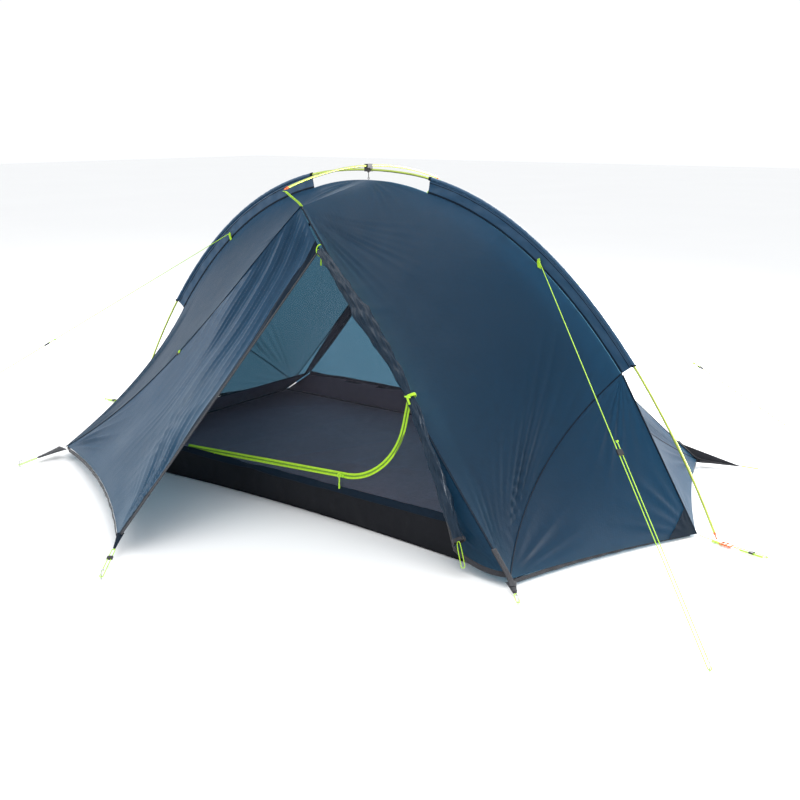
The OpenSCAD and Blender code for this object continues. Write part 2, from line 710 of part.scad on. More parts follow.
module inner_roof(side) {
    front_top = [6, -wall_foot_y + inner_top * wall_lean + 4, tub_height + inner_top + 2];
    end_x = side < 0 ? inner_corner_left : inner_corner_right;
    front_end = [end_x, -wall_foot_y + 6, tub_height + 2];
    spine_break = inner_ridge(0.5);
    spine = function (u) u < roof_break
        ? inner_ridge(mix(0.005, 0.5, u / roof_break))
        : mix(spine_break, [end_x, 0, tub_height + 2], (u - roof_break) / (1 - roof_break));
    seam_line = function (u) mix(front_top, front_end, u);
    grid = [for (i = [0:8]) let (u = i / 8, k = spine(u), f = seam_line(u))
        [for (v = [-1:0.25:1]) let (p = mix(k, v < 0 ? f : mirror_y(f), abs(v)))
            [side * p.x, side * p.y, p.z]]];
    color(mesh_grey) sheet(grid, 1.2);
}
module inner_roof_left() { inner_roof(-1); }
module inner_roof_right() { inner_roof(1); }

zip_width = 7;
module inner_zip() {
    color(lime) on_front_plane() translate([0, 0, 1.6]) linear_extrude(1.6) intersection() {
        difference() {
            offset(delta = zip_width + 0.5) door_outline();
            offset(delta = 0.5) door_outline();
        }
        polygon([door_start + [-14, -20], [800, -20], [800, 780], door_head + [14, -16],
            door_start + [16, 16]]);
    }
}
zip_slope = atan2(door_turn.y - door_turn_r - door_start.y, door_turn.x - door_start.x);
slider_point = [352, 44.5];
pull_reach = 22;
module inner_slider() {
    color(lime) {
        on_front_plane() translate([slider_point.x, slider_point.y, 3.5])
            rotate([0, 0, zip_slope]) translate([-8, -4, 0]) cube([16, 8, 4]);
        rod(front_point(slider_point, 6), front_point(slider_point, pull_reach - 2.2), 1);
    }
}
function front_point(p, out) = [p.x, -wall_foot_y + p.y * cos(wall_tilt) - out * sin(wall_tilt),
    tub_height + p.y * sin(wall_tilt) + out * cos(wall_tilt)];
inner_pivot = front_point(slider_point, pull_reach);
module inner_pull() {
    color(lime) {
        translate(inner_pivot) rotate([90, 0, 0]) rotate_extrude() translate([3.5, 0]) circle(1.1);
        rod(inner_pivot - [0, 0, 4], inner_pivot - [0, 0, 42], 1.5);
    }
}
module inner_clips() {
    color(black) for (w = [-0.42, -0.26, 0.26, 0.42])
        along(ridge(w) - 3 * arch_normal(w), inner_ridge(w)) {
            cylinder(r = 1.6, h = inner_gap - 6);
            translate([-5, -2, inner_gap / 2 - 5]) cube([10, 4, 8]);
        }
}

// ---- Guy lines ----

function guy_start(side, rear) = [side * guy_reach, (rear ? 1 : -1) * 10, guy_height];
// End of a guy's long strand: half a strand gap to one side, so that its loop turns round the peg
function guy_end(start, peg) = let (c = atan2(peg.y - start.y, peg.x - start.x))
    [peg.x, peg.y, loop_z] - strand_gap / 2 * [-sin(c), cos(c), 0];
module guyline(start, peg, hold) {
    finish = guy_end(start, peg);
    length = norm(finish - start);
    back = hold * length - guy_tail;
    color(lime) along(start, finish) {
        cylinder(r = cord_r, h = length);
        translate([0, 0, -3]) cylinder(r = knot_r, h = 6);
        translate([0, strand_gap, back]) cylinder(r = cord_r, h = length - back);
        translate([0, strand_gap, back - 4]) cylinder(r = knot_r, h = 5);
        translate([0, 0, length]) half_ring(strand_gap, cord_r);
    }
}
module tensioner(start, peg, hold) {
    finish = guy_end(start, peg);
    color(black) along(mix(start, finish, hold), finish) difference() {
        translate([-3, -3.6, 0]) cube([6, strand_gap + 7.2, tensioner_length]);
        for (y = [0, strand_gap]) translate([0, y, -5]) cylinder(r = cord_r + 0.4, h = 40);
    }
}
hold_front = 0.545;
hold_rear = 0.585;
module guyline_front_left() { guyline(guy_start(-1, false), guy_peg_front_left, hold_front); }
module guyline_front_right() { guyline(guy_start(1, false), guy_peg_front_right, hold_front); }
module guyline_rear_left() { guyline(guy_start(-1, true), guy_peg_rear_left, hold_rear); }
module guyline_rear_right() { guyline(guy_start(1, true), guy_peg_rear_right, hold_rear); }
module tensioner_front_left() { tensioner(guy_start(-1, false), guy_peg_front_left, hold_front); }
module tensioner_front_right() { tensioner(guy_start(1, false), guy_peg_front_right, hold_front); }
module tensioner_rear_left() { tensioner(guy_start(-1, true), guy_peg_rear_left, hold_rear); }
module tensioner_rear_right() { tensioner(guy_start(1, true), guy_peg_rear_right, hold_rear); }

// ---- Pegs: the shank above the ground and its hooked head ----

peg_places = concat(corner_pegs, [pole_peg, [-pole_peg.x, pole_peg.y], apex_peg,
    guy_peg_front_left, guy_peg_front_right, guy_peg_rear_left, guy_peg_rear_right]);
peg_hook = 5.5;
module peg(place) {
    away = atan2(place.y, place.x);
    translate([place.x, place.y, 0]) rotate([0, 0, away]) {
        cylinder(r = peg_r, h = peg_height);
        translate([-peg_hook, 0, peg_height]) rotate([90, 0, 0])
            rotate_extrude(angle = 180) translate([peg_hook, 0]) circle(peg_r);
    }
}
module pegs() {
    color(metal) for (p = peg_places) peg(p);
}

main_pole_sections();
pole_ferrules();
pole_shock_cord();
pole_tips();
brow_pole_sections();
brow_ferrules();
brow_shock_cord();
brow_tips();
brow_webbing();
crown_hub_base();
crown_hub_saddle();
hub_rivet();
crown_hook();
sleeve_left();
sleeve_right();
fly_front_left();
fly_front_right();
fly_rear_left();
fly_rear_right();
fly_end_left();
fly_end_right();
fly_rear_wall();
fly_hem();
vestibule_door();
vestibule_rolled_door();
door_zip();
door_hem();
vestibule_slider();
vestibule_pull();
door_tip_webbing();
door_tip_cord();
door_tip_adjuster();
tieback();
corner_webbing();
corner_loops();
pole_end_straps();
pole_end_buckles();
pole_end_adjuster_left();
pole_end_adjuster_right();
inner_floor();
tub_walls();
inner_front_mesh();
inner_door();
inner_rear_mesh();
inner_roof_left();
inner_roof_right();
inner_zip();
inner_slider();
inner_pull();
inner_clips();
guyline_front_left();
guyline_front_right();
guyline_rear_left();
guyline_rear_right();
tensioner_front_left();
tensioner_front_right();
tensioner_rear_left();
tensioner_rear_right();
pegs();
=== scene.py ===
"""Looks of a two-person hoop tent: its cloth, cords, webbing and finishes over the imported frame."""

import math

import bpy
import numpy as np
from mathutils import Matrix, Vector


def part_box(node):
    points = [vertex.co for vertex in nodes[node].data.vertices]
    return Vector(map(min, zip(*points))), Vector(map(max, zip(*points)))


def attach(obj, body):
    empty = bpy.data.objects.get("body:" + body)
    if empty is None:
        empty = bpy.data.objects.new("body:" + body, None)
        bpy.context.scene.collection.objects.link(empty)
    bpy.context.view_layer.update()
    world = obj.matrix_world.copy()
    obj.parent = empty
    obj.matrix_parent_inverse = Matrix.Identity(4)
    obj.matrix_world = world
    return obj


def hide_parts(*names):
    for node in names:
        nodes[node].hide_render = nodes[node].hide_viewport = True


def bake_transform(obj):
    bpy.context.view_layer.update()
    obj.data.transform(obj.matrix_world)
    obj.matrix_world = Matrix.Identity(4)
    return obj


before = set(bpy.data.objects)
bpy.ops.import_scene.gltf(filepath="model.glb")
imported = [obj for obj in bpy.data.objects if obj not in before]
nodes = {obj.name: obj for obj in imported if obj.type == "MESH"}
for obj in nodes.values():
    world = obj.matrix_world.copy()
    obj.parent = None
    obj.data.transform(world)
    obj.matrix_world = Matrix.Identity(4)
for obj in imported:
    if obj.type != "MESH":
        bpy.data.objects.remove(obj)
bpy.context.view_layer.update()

# ---- Driving dimensions, in metres, the same as the design's ----

POLE_R = 0.00425
CROWN_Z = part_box("main_pole_sections")[1].z - POLE_R
POLE_FOOT = 1.411
SLEEVE_HEIGHT = 0.050
CLOTH_CROWN_Z = 1.086
SLEEVE_START, SLEEVE_END = 0.1, 0.535
INNER_DROP = 0.105
CORD_R = 0.00125
LOOP_Z = 0.009
STRAND_GAP = 0.010
UP = np.array([0.0, 0.0, 1.0])


def at(*xyz):
    return np.array(xyz, float)


def across_x(p):
    return p * at(-1, 1, 1)


def across_y(p):
    return p * at(1, -1, 1)


PEAK = at(0, -0.374, 1.010)
CORNER_RIGHT = at(1.062, -0.692, 0.024)
CORNER_LEFT = at(-1.0, -0.7, 0.038)
CORNER_REAR = at(1.062, 0.7, 0.024)
END_FOOT = at(1.342, 0, 0.008)
DOOR_TOP = at(0.120, -0.410, 0.880)
DOOR_APEX = at(-0.020, -1.220, 0.050)
DOOR_TIP = DOOR_APEX + at(0.020, -0.030, -0.012)
TIE_POINT, TIE_SHARE = at(0.612, -0.561, 0.468), 0.55
ROLL_HEAD, ROLL_FOOT = at(0.134, -0.433, 0.874), at(0.885, -0.692, 0.100)
ROLL_BULGE = 0.017 * at(0.57, -0.38, 0.73)
APEX_PEG = at(0.080, -1.362, LOOP_Z)
POLE_PEG = at(1.586, -0.055, LOOP_Z)
CORNER_PEGS = [at(-1.024, -0.897, LOOP_Z), at(1.140, -0.777, LOOP_Z),
               at(1.275, 0.776, LOOP_Z), at(-1.275, 0.776, LOOP_Z)]
CORNERS = [CORNER_LEFT, CORNER_RIGHT, CORNER_REAR, across_x(CORNER_REAR)]
# Each guy: where it leaves its sleeve, its peg, and its tensioner's place as a share of the way down
GUYS = {
    "front_left": (at(-0.735, -0.010, 0.846), at(-1.830, -0.925, LOOP_Z), 0.545),
    "front_right": (at(0.735, -0.010, 0.846), at(1.700, -0.815, LOOP_Z), 0.545),
    "rear_left": (at(-0.735, 0.010, 0.846), at(-1.168, 1.452, LOOP_Z), 0.585),
    "rear_right": (at(0.735, 0.010, 0.846), at(1.168, 1.452, LOOP_Z), 0.585),
}
GUY_TAIL = 0.030
TUB_TOP = 0.120
WALL_FOOT_Y = 0.600
WALL_LEAN = 1 / 3
WALL_TILT = math.atan2(1, WALL_LEAN)
SEAM_SKEW = 1.4
SHORT_SAG = at(0, 0, -0.006)
REAR_HEM_SAG = at(0, -0.025, 0)
DOOR_HEM_SAG = at(0.030, 0.030, 0.020)
DOOR_SET_BACK = 0.009
INNER_LEFT, INNER_RIGHT = 0.860, 0.940
INNER_TOP = 0.830
FLOOR_LENGTH, FLOOR_WIDTH, FLOOR_FRONT_LEFT = 2.100, 1.280, 1.005

# ---- Camera, from the front right of the tent at eye height for someone sitting ----


def make_camera():
    camera = bpy.data.objects.new("camera", bpy.data.cameras.new("camera"))
    camera.data.sensor_width = 36
    camera.data.lens = 47.19
    camera.data.clip_start = 0.02
    yaw, pitch = math.radians(37.01), math.radians(-14.73)
    camera.matrix_world = (Matrix.Translation((2.481, -3.098, 1.285))
                           @ Matrix.Rotation(yaw, 4, "Z") @ Matrix.Rotation(math.pi / 2 + pitch, 4, "X"))
    bpy.context.scene.collection.objects.link(camera)
    bpy.context.scene.camera = camera


make_camera()

# ---- Curves of the tent ----


def unit(v):
    return v / np.maximum(np.linalg.norm(v, axis=-1, keepdims=True), 1e-12)


def mix(a, b, t):
    return a + (b - a) * np.asarray(t, float)[..., None]


def smooth(x):
    x = np.clip(x, 0, 1)
    return x * x * (3 - 2 * x)


def arch(w):
    """The main pole's centre line; w runs from -1 at the left foot to 1 at the right foot."""
    w = np.asarray(w, float)
    x = np.sign(w) * POLE_FOOT * np.abs(np.sin(w * np.pi / 2)) ** (2 / 2.3)
    return np.stack([x, 0 * x, CROWN_Z * np.maximum(np.cos(w * np.pi / 2), 0) ** 1.86], -1)


def arch_normal(w):
    w = np.asarray(w, float)
    d = unit(arch(np.minimum(w + 0.004, 1)) - arch(np.maximum(w - 0.004, -1)))
    return np.stack([-d[..., 2], 0 * w, d[..., 0]], -1)


def ridge(w):
    """The fly's ridge seam: the pole curve moved in by the sleeve and drawn up at the crown."""
    p = arch(w) - SLEEVE_HEIGHT * arch_normal(w)
    k = np.minimum(1, np.abs(p[..., 0]) / 0.27)
    return p + (CLOTH_CROWN_Z - CROWN_Z + SLEEVE_HEIGHT) * (1 - k * k)[..., None] * UP


def inner_ridge(w):
    return arch(w) - INNER_DROP * arch_normal(w)


def seam(a, b, sag, t, skew=1.0):
    k = np.asarray(t, float)[..., None] ** skew
    return mix(a, b, t) + 4 * k * (1 - k) * sag


def front_seam_sag(side, rear):
    return at(0.034, 0.012, -0.044) if side < 0 and not rear else SHORT_SAG


def end_hem_sag(side):
    return at(side * -0.018, 0, 0.002)


def crease_sag(side, rear):
    reach = -0.040 if side < 0 and not rear else -0.095
    return at(side * reach, 0.020 * (-1 if rear else 1), -0.010)


def fly_corner(side, rear):
    if rear:
        return CORNER_REAR * at(side, 1, 1)
    return CORNER_RIGHT if side > 0 else CORNER_LEFT


def fly_peak(rear):
    return across_y(PEAK) if rear else PEAK


def sleeve_foot(side):
    return ridge(SLEEVE_END) * at(side, 1, 1)


def patch(top, bottom, left, right, n, m, trim_u=(0, 0), trim_v=(0, 0)):
    """Grid of points on the smooth surface between four edge curves."""
    u = np.linspace(trim_u[0], 1 - trim_u[1], n + 1)[None, :]
    v = np.linspace(trim_v[0], 1 - trim_v[1], m + 1)[:, None]
    a, b = u[..., None], v[..., None]
    zero, one = np.zeros((1, 1)), np.ones((1, 1))
    return ((1 - b) * top(u) + b * bottom(u) + (1 - a) * left(v) + a * right(v)
            - (1 - a) * (1 - b) * top(zero) - a * (1 - b) * top(one)
            - (1 - a) * b * bottom(zero) - a * b * bottom(one))


def ruled(a, b, n, m):
    """Grid between two edge curves."""
    t = np.linspace(0, 1, n + 1)
    return np.stack([a(t) + (b(t) - a(t)) * k for k in np.linspace(0, 1, m + 1)])


# ---- Cloth shaping: every fold is a height over the sheet's own surface ----


def normals(grid):
    return unit(np.cross(np.gradient(grid, axis=1), np.gradient(grid, axis=0)))


def outward(grid, centre=at(0, 0, 0.3)):
    n = normals(grid)
    return n if ((grid - centre) * n).sum() > 0 else -n


def edge_hold(grid, width=0.08, sides=(1, 1, 1, 1)):
    """1 inside the sheet, falling to 0 at the edges that are sewn down: left, right, top, bottom."""
    m, n = grid.shape[:2]
    u, v = np.linspace(0, 1, n)[None, :], np.linspace(0, 1, m)[:, None]
    hold = np.ones((m, n))
    for on, near in zip(sides, (u, 1 - u, v, 1 - v)):
        if on:
            hold = hold * smooth(near / width)
    return hold


def pleats(grid, origin, toward, spread, count, reach, depth, seed, sharp=1.0, fade=1.5):
    """Tension folds that run out from a held point: spread is their fan's half angle in degrees."""
    rng = np.random.default_rng(seed)
    n = outward(grid)
    axis = unit(np.asarray(toward, float) - origin)
    away = grid - origin
    r = np.linalg.norm(away, axis=-1)
    side = np.cross(n, axis)
    angle = np.degrees(np.arctan2((away * side).sum(-1), (away * axis).sum(-1)))
    where = angle / spread
    window = np.exp(-(np.abs(where) ** 3))
    phase = where * count * np.pi / 2
    wobble = 0.6 * np.sin(phase * 0.37 + rng.uniform(0, 6)) + 0.25 * np.sin(r * 9 + rng.uniform(0, 6))
    folds = 1 - 2 * np.abs(np.sin(phase + wobble + rng.uniform(0, 3))) ** sharp
    strength = 0.65 + 0.35 * np.sin(phase * 0.53 + rng.uniform(0, 6))
    run = (r / reach) * np.exp(1 - r / reach) * np.exp(-((r / (fade * reach)) ** 4))
    return depth * folds * strength * window * run


def creases(grid, a, b, width, depth, seed, count=6, skew=0.5):
    """Short folds lying across the line from a to b."""
    rng = np.random.default_rng(seed)
    n = outward(grid)
    line = unit(b - a)
    cross = np.cross(n, line)
    length = np.linalg.norm(b - a)
    s = ((grid - a) * line).sum(-1)
    d = ((grid - a) * cross).sum(-1)
    height = np.zeros(s.shape)
    for k in range(count):
        centre = length * (k + rng.uniform(0.2, 0.8)) / count
        lean = rng.uniform(-skew, skew)
        half = width * rng.uniform(0.5, 1.0)
        thick = length / count * rng.uniform(0.10, 0.22)
        off = (s - centre - lean * d) / thick
        height += rng.uniform(0.4, 1) * np.exp(-off * off) * (1 - 0.7 * np.abs(off)) * np.exp(
            -((d / half) ** 2))
    return depth * height


def billow(grid, size, depth, seed, waves=7):
    """Low, broad unevenness of hanging cloth."""
    rng = np.random.default_rng(seed)
    height = np.zeros(grid.shape[:2])
    for _ in range(waves):
        k = unit(rng.normal(size=3)) * 2 * np.pi / (size * rng.uniform(0.6, 1.6))
        height += np.sin((grid * k).sum(-1) + rng.uniform(0, 6.28)) * rng.uniform(0.3, 1)
    return depth * height / waves ** 0.5


def raised(grid, height):
    return grid + outward(grid) * height[..., None]


# ---- Mesh makers ----


def grid_uv(grid):
    """Texture coordinates in metres along the sheet's middle row and column."""
    m, n = grid.shape[:2]
    u, v = run_of(grid[m // 2]), run_of(grid[:, n // 2])
    return np.stack(np.broadcast_arrays(u[None, :], v[:, None]), -1)


def mesh_piece(name, parts, material, body="tent", closed=False, node=None):
    """One smooth mesh from grids of points; closed joins each grid's first and last columns.

    node names the CAD node that the piece takes the place of."""
    points, faces, coords = [], [], []
    for grid in parts:
        m, n = grid.shape[:2]
        start = sum(len(p) for p in points)
        index = start + np.arange(m * n).reshape(m, n)
        uv = grid_uv(grid)
        points.append(grid.reshape(-1, 3))
        coords.append(uv.reshape(-1, 2))
        right = np.roll(index, -1, 1) if closed else index[:, 1:]
        left = index if closed else index[:, :-1]
        faces.append(np.stack([left[:-1], right[:-1], right[1:], left[1:]], -1).reshape(-1, 4))
    points, faces, coords = (np.concatenate(x) for x in (points, faces, coords))
    mesh = bpy.data.meshes.new(name)
    mesh.from_pydata(points.tolist(), [], faces.tolist())
    layer = mesh.uv_layers.new(name="cloth")
    corner = np.zeros(len(mesh.loops), np.int32)
    mesh.loops.foreach_get("vertex_index", corner)
    layer.data.foreach_set("uv", coords[corner].astype(np.float32).ravel())
    mesh.polygons.foreach_set("use_smooth", np.ones(len(faces), bool))
    mesh.materials.append(material)
    mesh.update()
    piece = bpy.data.objects.new(name, mesh)
    bpy.context.scene.collection.objects.link(piece)
    if body:
        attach(piece, body)
    if node:
        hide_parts(node)
    return piece


def path_frames(path, start=None):
    """Two directions across the path at each point, turned as little as possible along it."""
    tangent = unit(np.gradient(path, axis=0))
    across = np.zeros_like(path)
    first = at(0, 0, 1) if start is None else start
    if abs(first @ tangent[0]) > 0.9:
        first = at(0, 1, 0)
    for i, t in enumerate(tangent):
        first = unit(first - (first @ t) * t)
        across[i] = first
    return across, np.cross(tangent, across)


def tube_grid(path, radius, sides=12, start=None, flat=1.0):
    """Rings round a path; radius is a number or an array that broadcasts over (path, sides)."""
    a, b = path_frames(path, start)
    angle = np.arange(sides) * 2 * np.pi / sides
    r = np.broadcast_to(np.asarray(radius, float), (len(path), sides))[..., None]
    ring = np.cos(angle)[None, :, None] * a[:, None] * flat + np.sin(angle)[None, :, None] * b[:, None]
    return path[:, None] + r * ring


def capped(grid):
    """The same rings with both ends drawn in to a point, so that the tube is closed."""
    first, last = grid[0].mean(0), grid[-1].mean(0)
    return np.concatenate([np.broadcast_to(first, (1,) + grid.shape[1:]), grid,
                           np.broadcast_to(last, (1,) + grid.shape[1:])])


def tape_grid(path, across, width, thickness=0.0012, lift=0.0):
    """A closed flat band along a path, with rounded edges; across is its width's direction, one or many."""
    tangent = unit(np.gradient(path, axis=0))
    across = np.broadcast_to(across, path.shape)
    across = unit(across - (across * tangent).sum(-1, keepdims=True) * tangent)
    face = np.cross(tangent, across)
    outline = [(-0.5, 0), (-0.46, 0.42), (-0.25, 0.5), (0, 0.5), (0.25, 0.5), (0.46, 0.42),
               (0.5, 0), (0.46, -0.42), (0.25, -0.5), (0, -0.5), (-0.25, -0.5), (-0.46, -0.42)]
    rings = [path + lift * face + x * width * across + y * thickness * face for x, y in outline]
    return capped(np.stack(rings, 1))


def run_of(path):
    """The distance along a path to each of its points."""
    return np.concatenate([[0], np.cumsum(np.linalg.norm(np.diff(path, axis=0), axis=-1))])


def resample_to(path, n):
    d = run_of(path)
    return np.stack([np.interp(np.linspace(0, d[-1], n), d, path[:, k]) for k in range(3)], -1)


def resample(path, step):
    return resample_to(path, max(3, int(run_of(path)[-1] / step) + 1))


def line(a, b, n=12):
    return mix(a, b, np.linspace(0, 1, n))


def rounded(points, rounds=3):
    """A smooth curve through a few corner points, by cutting its corners."""
    p = np.asarray(points, float)
    for _ in range(rounds):
        q, r = 0.75 * p[:-1] + 0.25 * p[1:], 0.25 * p[:-1] + 0.75 * p[1:]
        p = np.concatenate([p[:1], np.stack([q, r], 1).reshape(-1, 3), p[-1:]])
    return p


def cord_piece(name, points, radius, material, body="tent"):
    """A curve of one open spline with a round section."""
    data = bpy.data.curves.new(name, "CURVE")
    data.dimensions = "3D"
    data.bevel_depth = radius
    data.bevel_resolution = 3
    data.use_fill_caps = True
    spline = data.splines.new("POLY")
    spline.points.add(len(points) - 1)
    for target, p in zip(spline.points, points):
        target.co = (*p, 1)
    data.materials.append(material)
    piece = bpy.data.objects.new(name, data)
    bpy.context.scene.collection.objects.link(piece)
    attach(piece, body)
    return piece


def cloth_piece(name, grids, material, node, body="tent"):
    """A sewn sheet: one smooth mesh of its grids, in place of its CAD node."""
    piece = mesh_piece(name, grids, material, body, node=node)
    return piece


# ---- Materials ----


class Finish:
    """A node material with one Principled shader; the helpers below add its pattern."""

    def __init__(self, name, colour, rough, metal=0.0, specular=0.5, sheen=0.0, sheen_rough=0.4,
                 sheen_tint=(1, 1, 1), coat=0.0, alpha=1.0):
        self.material = bpy.data.materials.new(name)
        self.material.use_nodes = True
        self.tree = self.material.node_tree
        self.shader = self.tree.nodes["Principled BSDF"]
        self.out = self.tree.nodes["Material Output"]
        self.colour = colour
        put = self.shader.inputs
        put["Base Color"].default_value = (*colour, 1)
        put["Roughness"].default_value = rough
        put["Metallic"].default_value = metal
        put["Specular IOR Level"].default_value = specular
        put["Sheen Weight"].default_value = sheen
        put["Sheen Roughness"].default_value = sheen_rough
        put["Sheen Tint"].default_value = (*sheen_tint, 1)
        put["Coat Weight"].default_value = coat
        put["Alpha"].default_value = alpha
        self.bump = None

    def node(self, kind, **values):
        made = self.tree.nodes.new(kind)
        for key, value in values.items():
            if hasattr(made, key):
                setattr(made, key, value)
            else:
                made.inputs[key.replace("_", " ")].default_value = value
        return made

    def link(self, a, b):
        self.tree.links.new(a, b)

    def coords(self, kind="Object", scale=(1, 1, 1), turn=(0, 0, 0)):
        source = self.node("ShaderNodeTexCoord")
        mapping = self.node("ShaderNodeMapping")
        mapping.inputs["Scale"].default_value = scale
        mapping.inputs["Rotation"].default_value = turn
        self.link(source.outputs[kind], mapping.inputs["Vector"])
        return mapping.outputs["Vector"]

    def noise(self, vector, scale, detail=4.0, rough=0.55):
        made = self.node("ShaderNodeTexNoise", Scale=scale, Detail=detail, Roughness=rough)
        self.link(vector, made.inputs["Vector"])
        return made.outputs["Fac"]

    def ramp(self, value, low, high, to_low=0.0, to_high=1.0):
        made = self.node("ShaderNodeMapRange", From_Min=low, From_Max=high, To_Min=to_low, To_Max=to_high)
        self.link(value, made.inputs["Value"])
        return made.outputs["Result"]

    def maths(self, how, a, b):
        made = self.node("ShaderNodeMath", operation=how)
        for socket, value in zip(made.inputs, (a, b)):
            if isinstance(value, (int, float)):
                socket.default_value = value
            else:
                self.link(value, socket)
        return made.outputs[0]

    def lines(self, vector, axis, pitch, share=0.15):
        """Thin parallel lines, 1 on a line and 0 between them."""
        made = self.node("ShaderNodeTexWave", wave_type="BANDS", bands_direction=axis, Scale=0.314 / pitch)
        self.link(vector, made.inputs["Vector"])
        return self.ramp(made.outputs["Fac"], 1 - share, 1.0)

    def tint(self, value, to, share=1.0):
        """Mixes the base colour towards another where value is 1."""
        made = self.node("ShaderNodeMix", data_type="RGBA")
        amount = value if share == 1.0 else self.maths("MULTIPLY", value, share)
        self.link(amount, made.inputs["Factor"])
        base = self.shader.inputs["Base Color"]
        if base.is_linked:
            self.link(base.links[0].from_socket, made.inputs["A"])
        else:
            made.inputs["A"].default_value = (*self.colour, 1)
        made.inputs["B"].default_value = (*to, 1)
        self.link(made.outputs["Result"], base)
        return self

    def relief(self, value, depth, strength=1.0):
        made = self.node("ShaderNodeBump", Strength=strength, Distance=depth)
        self.link(value, made.inputs["Height"])
        if self.bump:
            self.link(self.bump, made.inputs["Normal"])
        self.bump = made.outputs["Normal"]
        self.link(self.bump, self.shader.inputs["Normal"])
        return self

    def rough_by(self, value, low, high):
        self.link(self.ramp(value, 0.25, 0.75, low, high), self.shader.inputs["Roughness"])
        return self

    def glow_through(self, colour, share):
        """Thin cloth lets some light from its other side through."""
        back = self.node("ShaderNodeBsdfTranslucent")
        back.inputs["Color"].default_value = (*colour, 1)
        if self.bump:
            self.link(self.bump, back.inputs["Normal"])
        both = self.node("ShaderNodeMixShader", Fac=share)
        self.link(self.shader.outputs[0], both.inputs[1])
        self.link(back.outputs[0], both.inputs[2])
        self.link(both.outputs[0], self.out.inputs["Surface"])
        return self


def lighter(colour, by):
    return tuple(min(1.0, c * by) for c in colour)


def ripstop(name, colour, rough, specular, sheen, through=None, share=0.0, wrinkle=0.0006):
    """Coated ripstop nylon: a fine weave, a 5 mm reinforcement grid and soft crumples."""
    f = Finish(name, colour, rough, specular=specular, sheen=sheen, sheen_rough=0.30,
               sheen_tint=(0.66, 0.80, 1.0))
    cloth = f.coords("UV")
    space = f.coords("Object")
    grid = f.maths("MAXIMUM", f.lines(cloth, "X", 0.005, 0.12), f.lines(cloth, "Y", 0.005, 0.12))
    weave = f.maths("MULTIPLY", f.lines(cloth, "X", 0.0008, 0.9), f.lines(cloth, "Y", 0.0008, 0.9))
    f.tint(f.ramp(f.noise(space, 2.2, 3.0), 0.35, 0.7), lighter(colour, 1.22))
    f.tint(f.ramp(f.noise(space, 60.0, 3.0), 0.3, 0.8), lighter(colour, 0.86))
    f.tint(grid, lighter(colour, 1.5), 0.35)
    f.relief(f.noise(space, 9.0, 5.0, 0.6), wrinkle * 6, 0.55)
    f.relief(f.noise(f.coords("Object", (1, 1, 3)), 42.0, 4.0), wrinkle, 0.5)
    f.relief(grid, 0.00012, 0.6)
    f.relief(weave, 0.00004, 0.5)
    f.rough_by(f.noise(space, 14.0, 3.0), rough - 0.05, rough + 0.08)
    if through:
        f.glow_through(through, share)
    return f.material


def netting(name, colour, alpha):
    """Fine mesh: dark thread with as much open space as cloth."""
    f = Finish(name, colour, 0.7, specular=0.25, sheen=0.25, alpha=alpha)
    cloth = f.coords("UV")
    knots = f.maths("MULTIPLY", f.lines(cloth, "X", 0.0011, 0.9), f.lines(cloth, "Y", 0.0011, 0.9))
    f.tint(f.ramp(f.noise(f.coords("Object"), 5.0, 3.0), 0.35, 0.75), lighter(colour, 1.5))
    f.tint(knots, lighter(colour, 0.9), 0.25)
    return f.material


def webbing(name, colour, rough=0.75, rib=0.0016, sheen=0.25):
    """Woven tape: ribs along it, fine cross ribs and small shade changes."""
    f = Finish(name, colour, rough, specular=0.3, sheen=sheen)
    cloth = f.coords("UV")
    ribs = f.lines(cloth, "X", rib, 0.7)
    cross = f.lines(cloth, "Y", rib * 0.7, 0.7)
    f.tint(f.maths("MULTIPLY", ribs, cross), lighter(colour, 1.45), 0.5)
    f.tint(f.ramp(f.noise(f.coords("Object"), 120.0, 4.0), 0.35, 0.75), lighter(colour, 0.72), 0.7)
    f.relief(ribs, 0.0003, 0.8)
    f.relief(cross, 0.00015, 0.8)
    return f.material


def braid(name, colour, rough=0.6):
    """Braided cord: two sets of slanting strands."""
    f = Finish(name, colour, rough, specular=0.35, sheen=0.3)
    a = f.lines(f.coords("Object", turn=(0.5, 0.4, 0.8)), "DIAGONAL", 0.0016, 0.7)
    b = f.lines(f.coords("Object", turn=(-0.6, 0.7, -0.5)), "DIAGONAL", 0.0016, 0.7)
    f.tint(f.maths("MULTIPLY", a, b), lighter(colour, 0.55), 0.6)
    f.tint(f.ramp(f.noise(f.coords("Object"), 250.0), 0.4, 0.8), lighter(colour, 1.25), 0.5)
    f.relief(a, 0.0002, 0.7)
    f.relief(b, 0.0002, 0.7)
    return f.material


def plastic(name, colour, rough=0.42, grain=0.00006):
    """Moulded plastic with a fine grain and slight scuffs."""
    f = Finish(name, colour, rough, specular=0.5)
    space = f.coords("Object")
    f.tint(f.ramp(f.noise(space, 90.0, 5.0), 0.45, 0.8), lighter(colour, 1.5), 0.5)
    f.rough_by(f.noise(space, 160.0, 4.0), rough - 0.08, rough + 0.12)
    f.relief(f.noise(space, 900.0, 2.0), grain, 0.6)
    return f.material


def alloy(name, colour, rough=0.3, coat=0.0, brushed=(1, 1, 40)):
    """Drawn and anodised aluminium: fine marks along it and slight shade changes."""
    f = Finish(name, colour, rough, metal=0.9, coat=coat)
    along = f.coords("Object", brushed)
    f.tint(f.ramp(f.noise(f.coords("Object"), 14.0, 3.0), 0.35, 0.7), lighter(colour, 0.82), 0.7)
    f.rough_by(f.noise(along, 80.0, 4.0), rough - 0.08, rough + 0.10)
    f.relief(f.noise(along, 300.0, 3.0), 0.00005, 0.4)
    return f.material


NAVY = (0.0085, 0.034, 0.070)
TEAL_THROUGH = (0.125, 0.330, 0.480)
LIME = (0.50, 0.86, 0.035)
DARK_TAPE = (0.030, 0.031, 0.038)

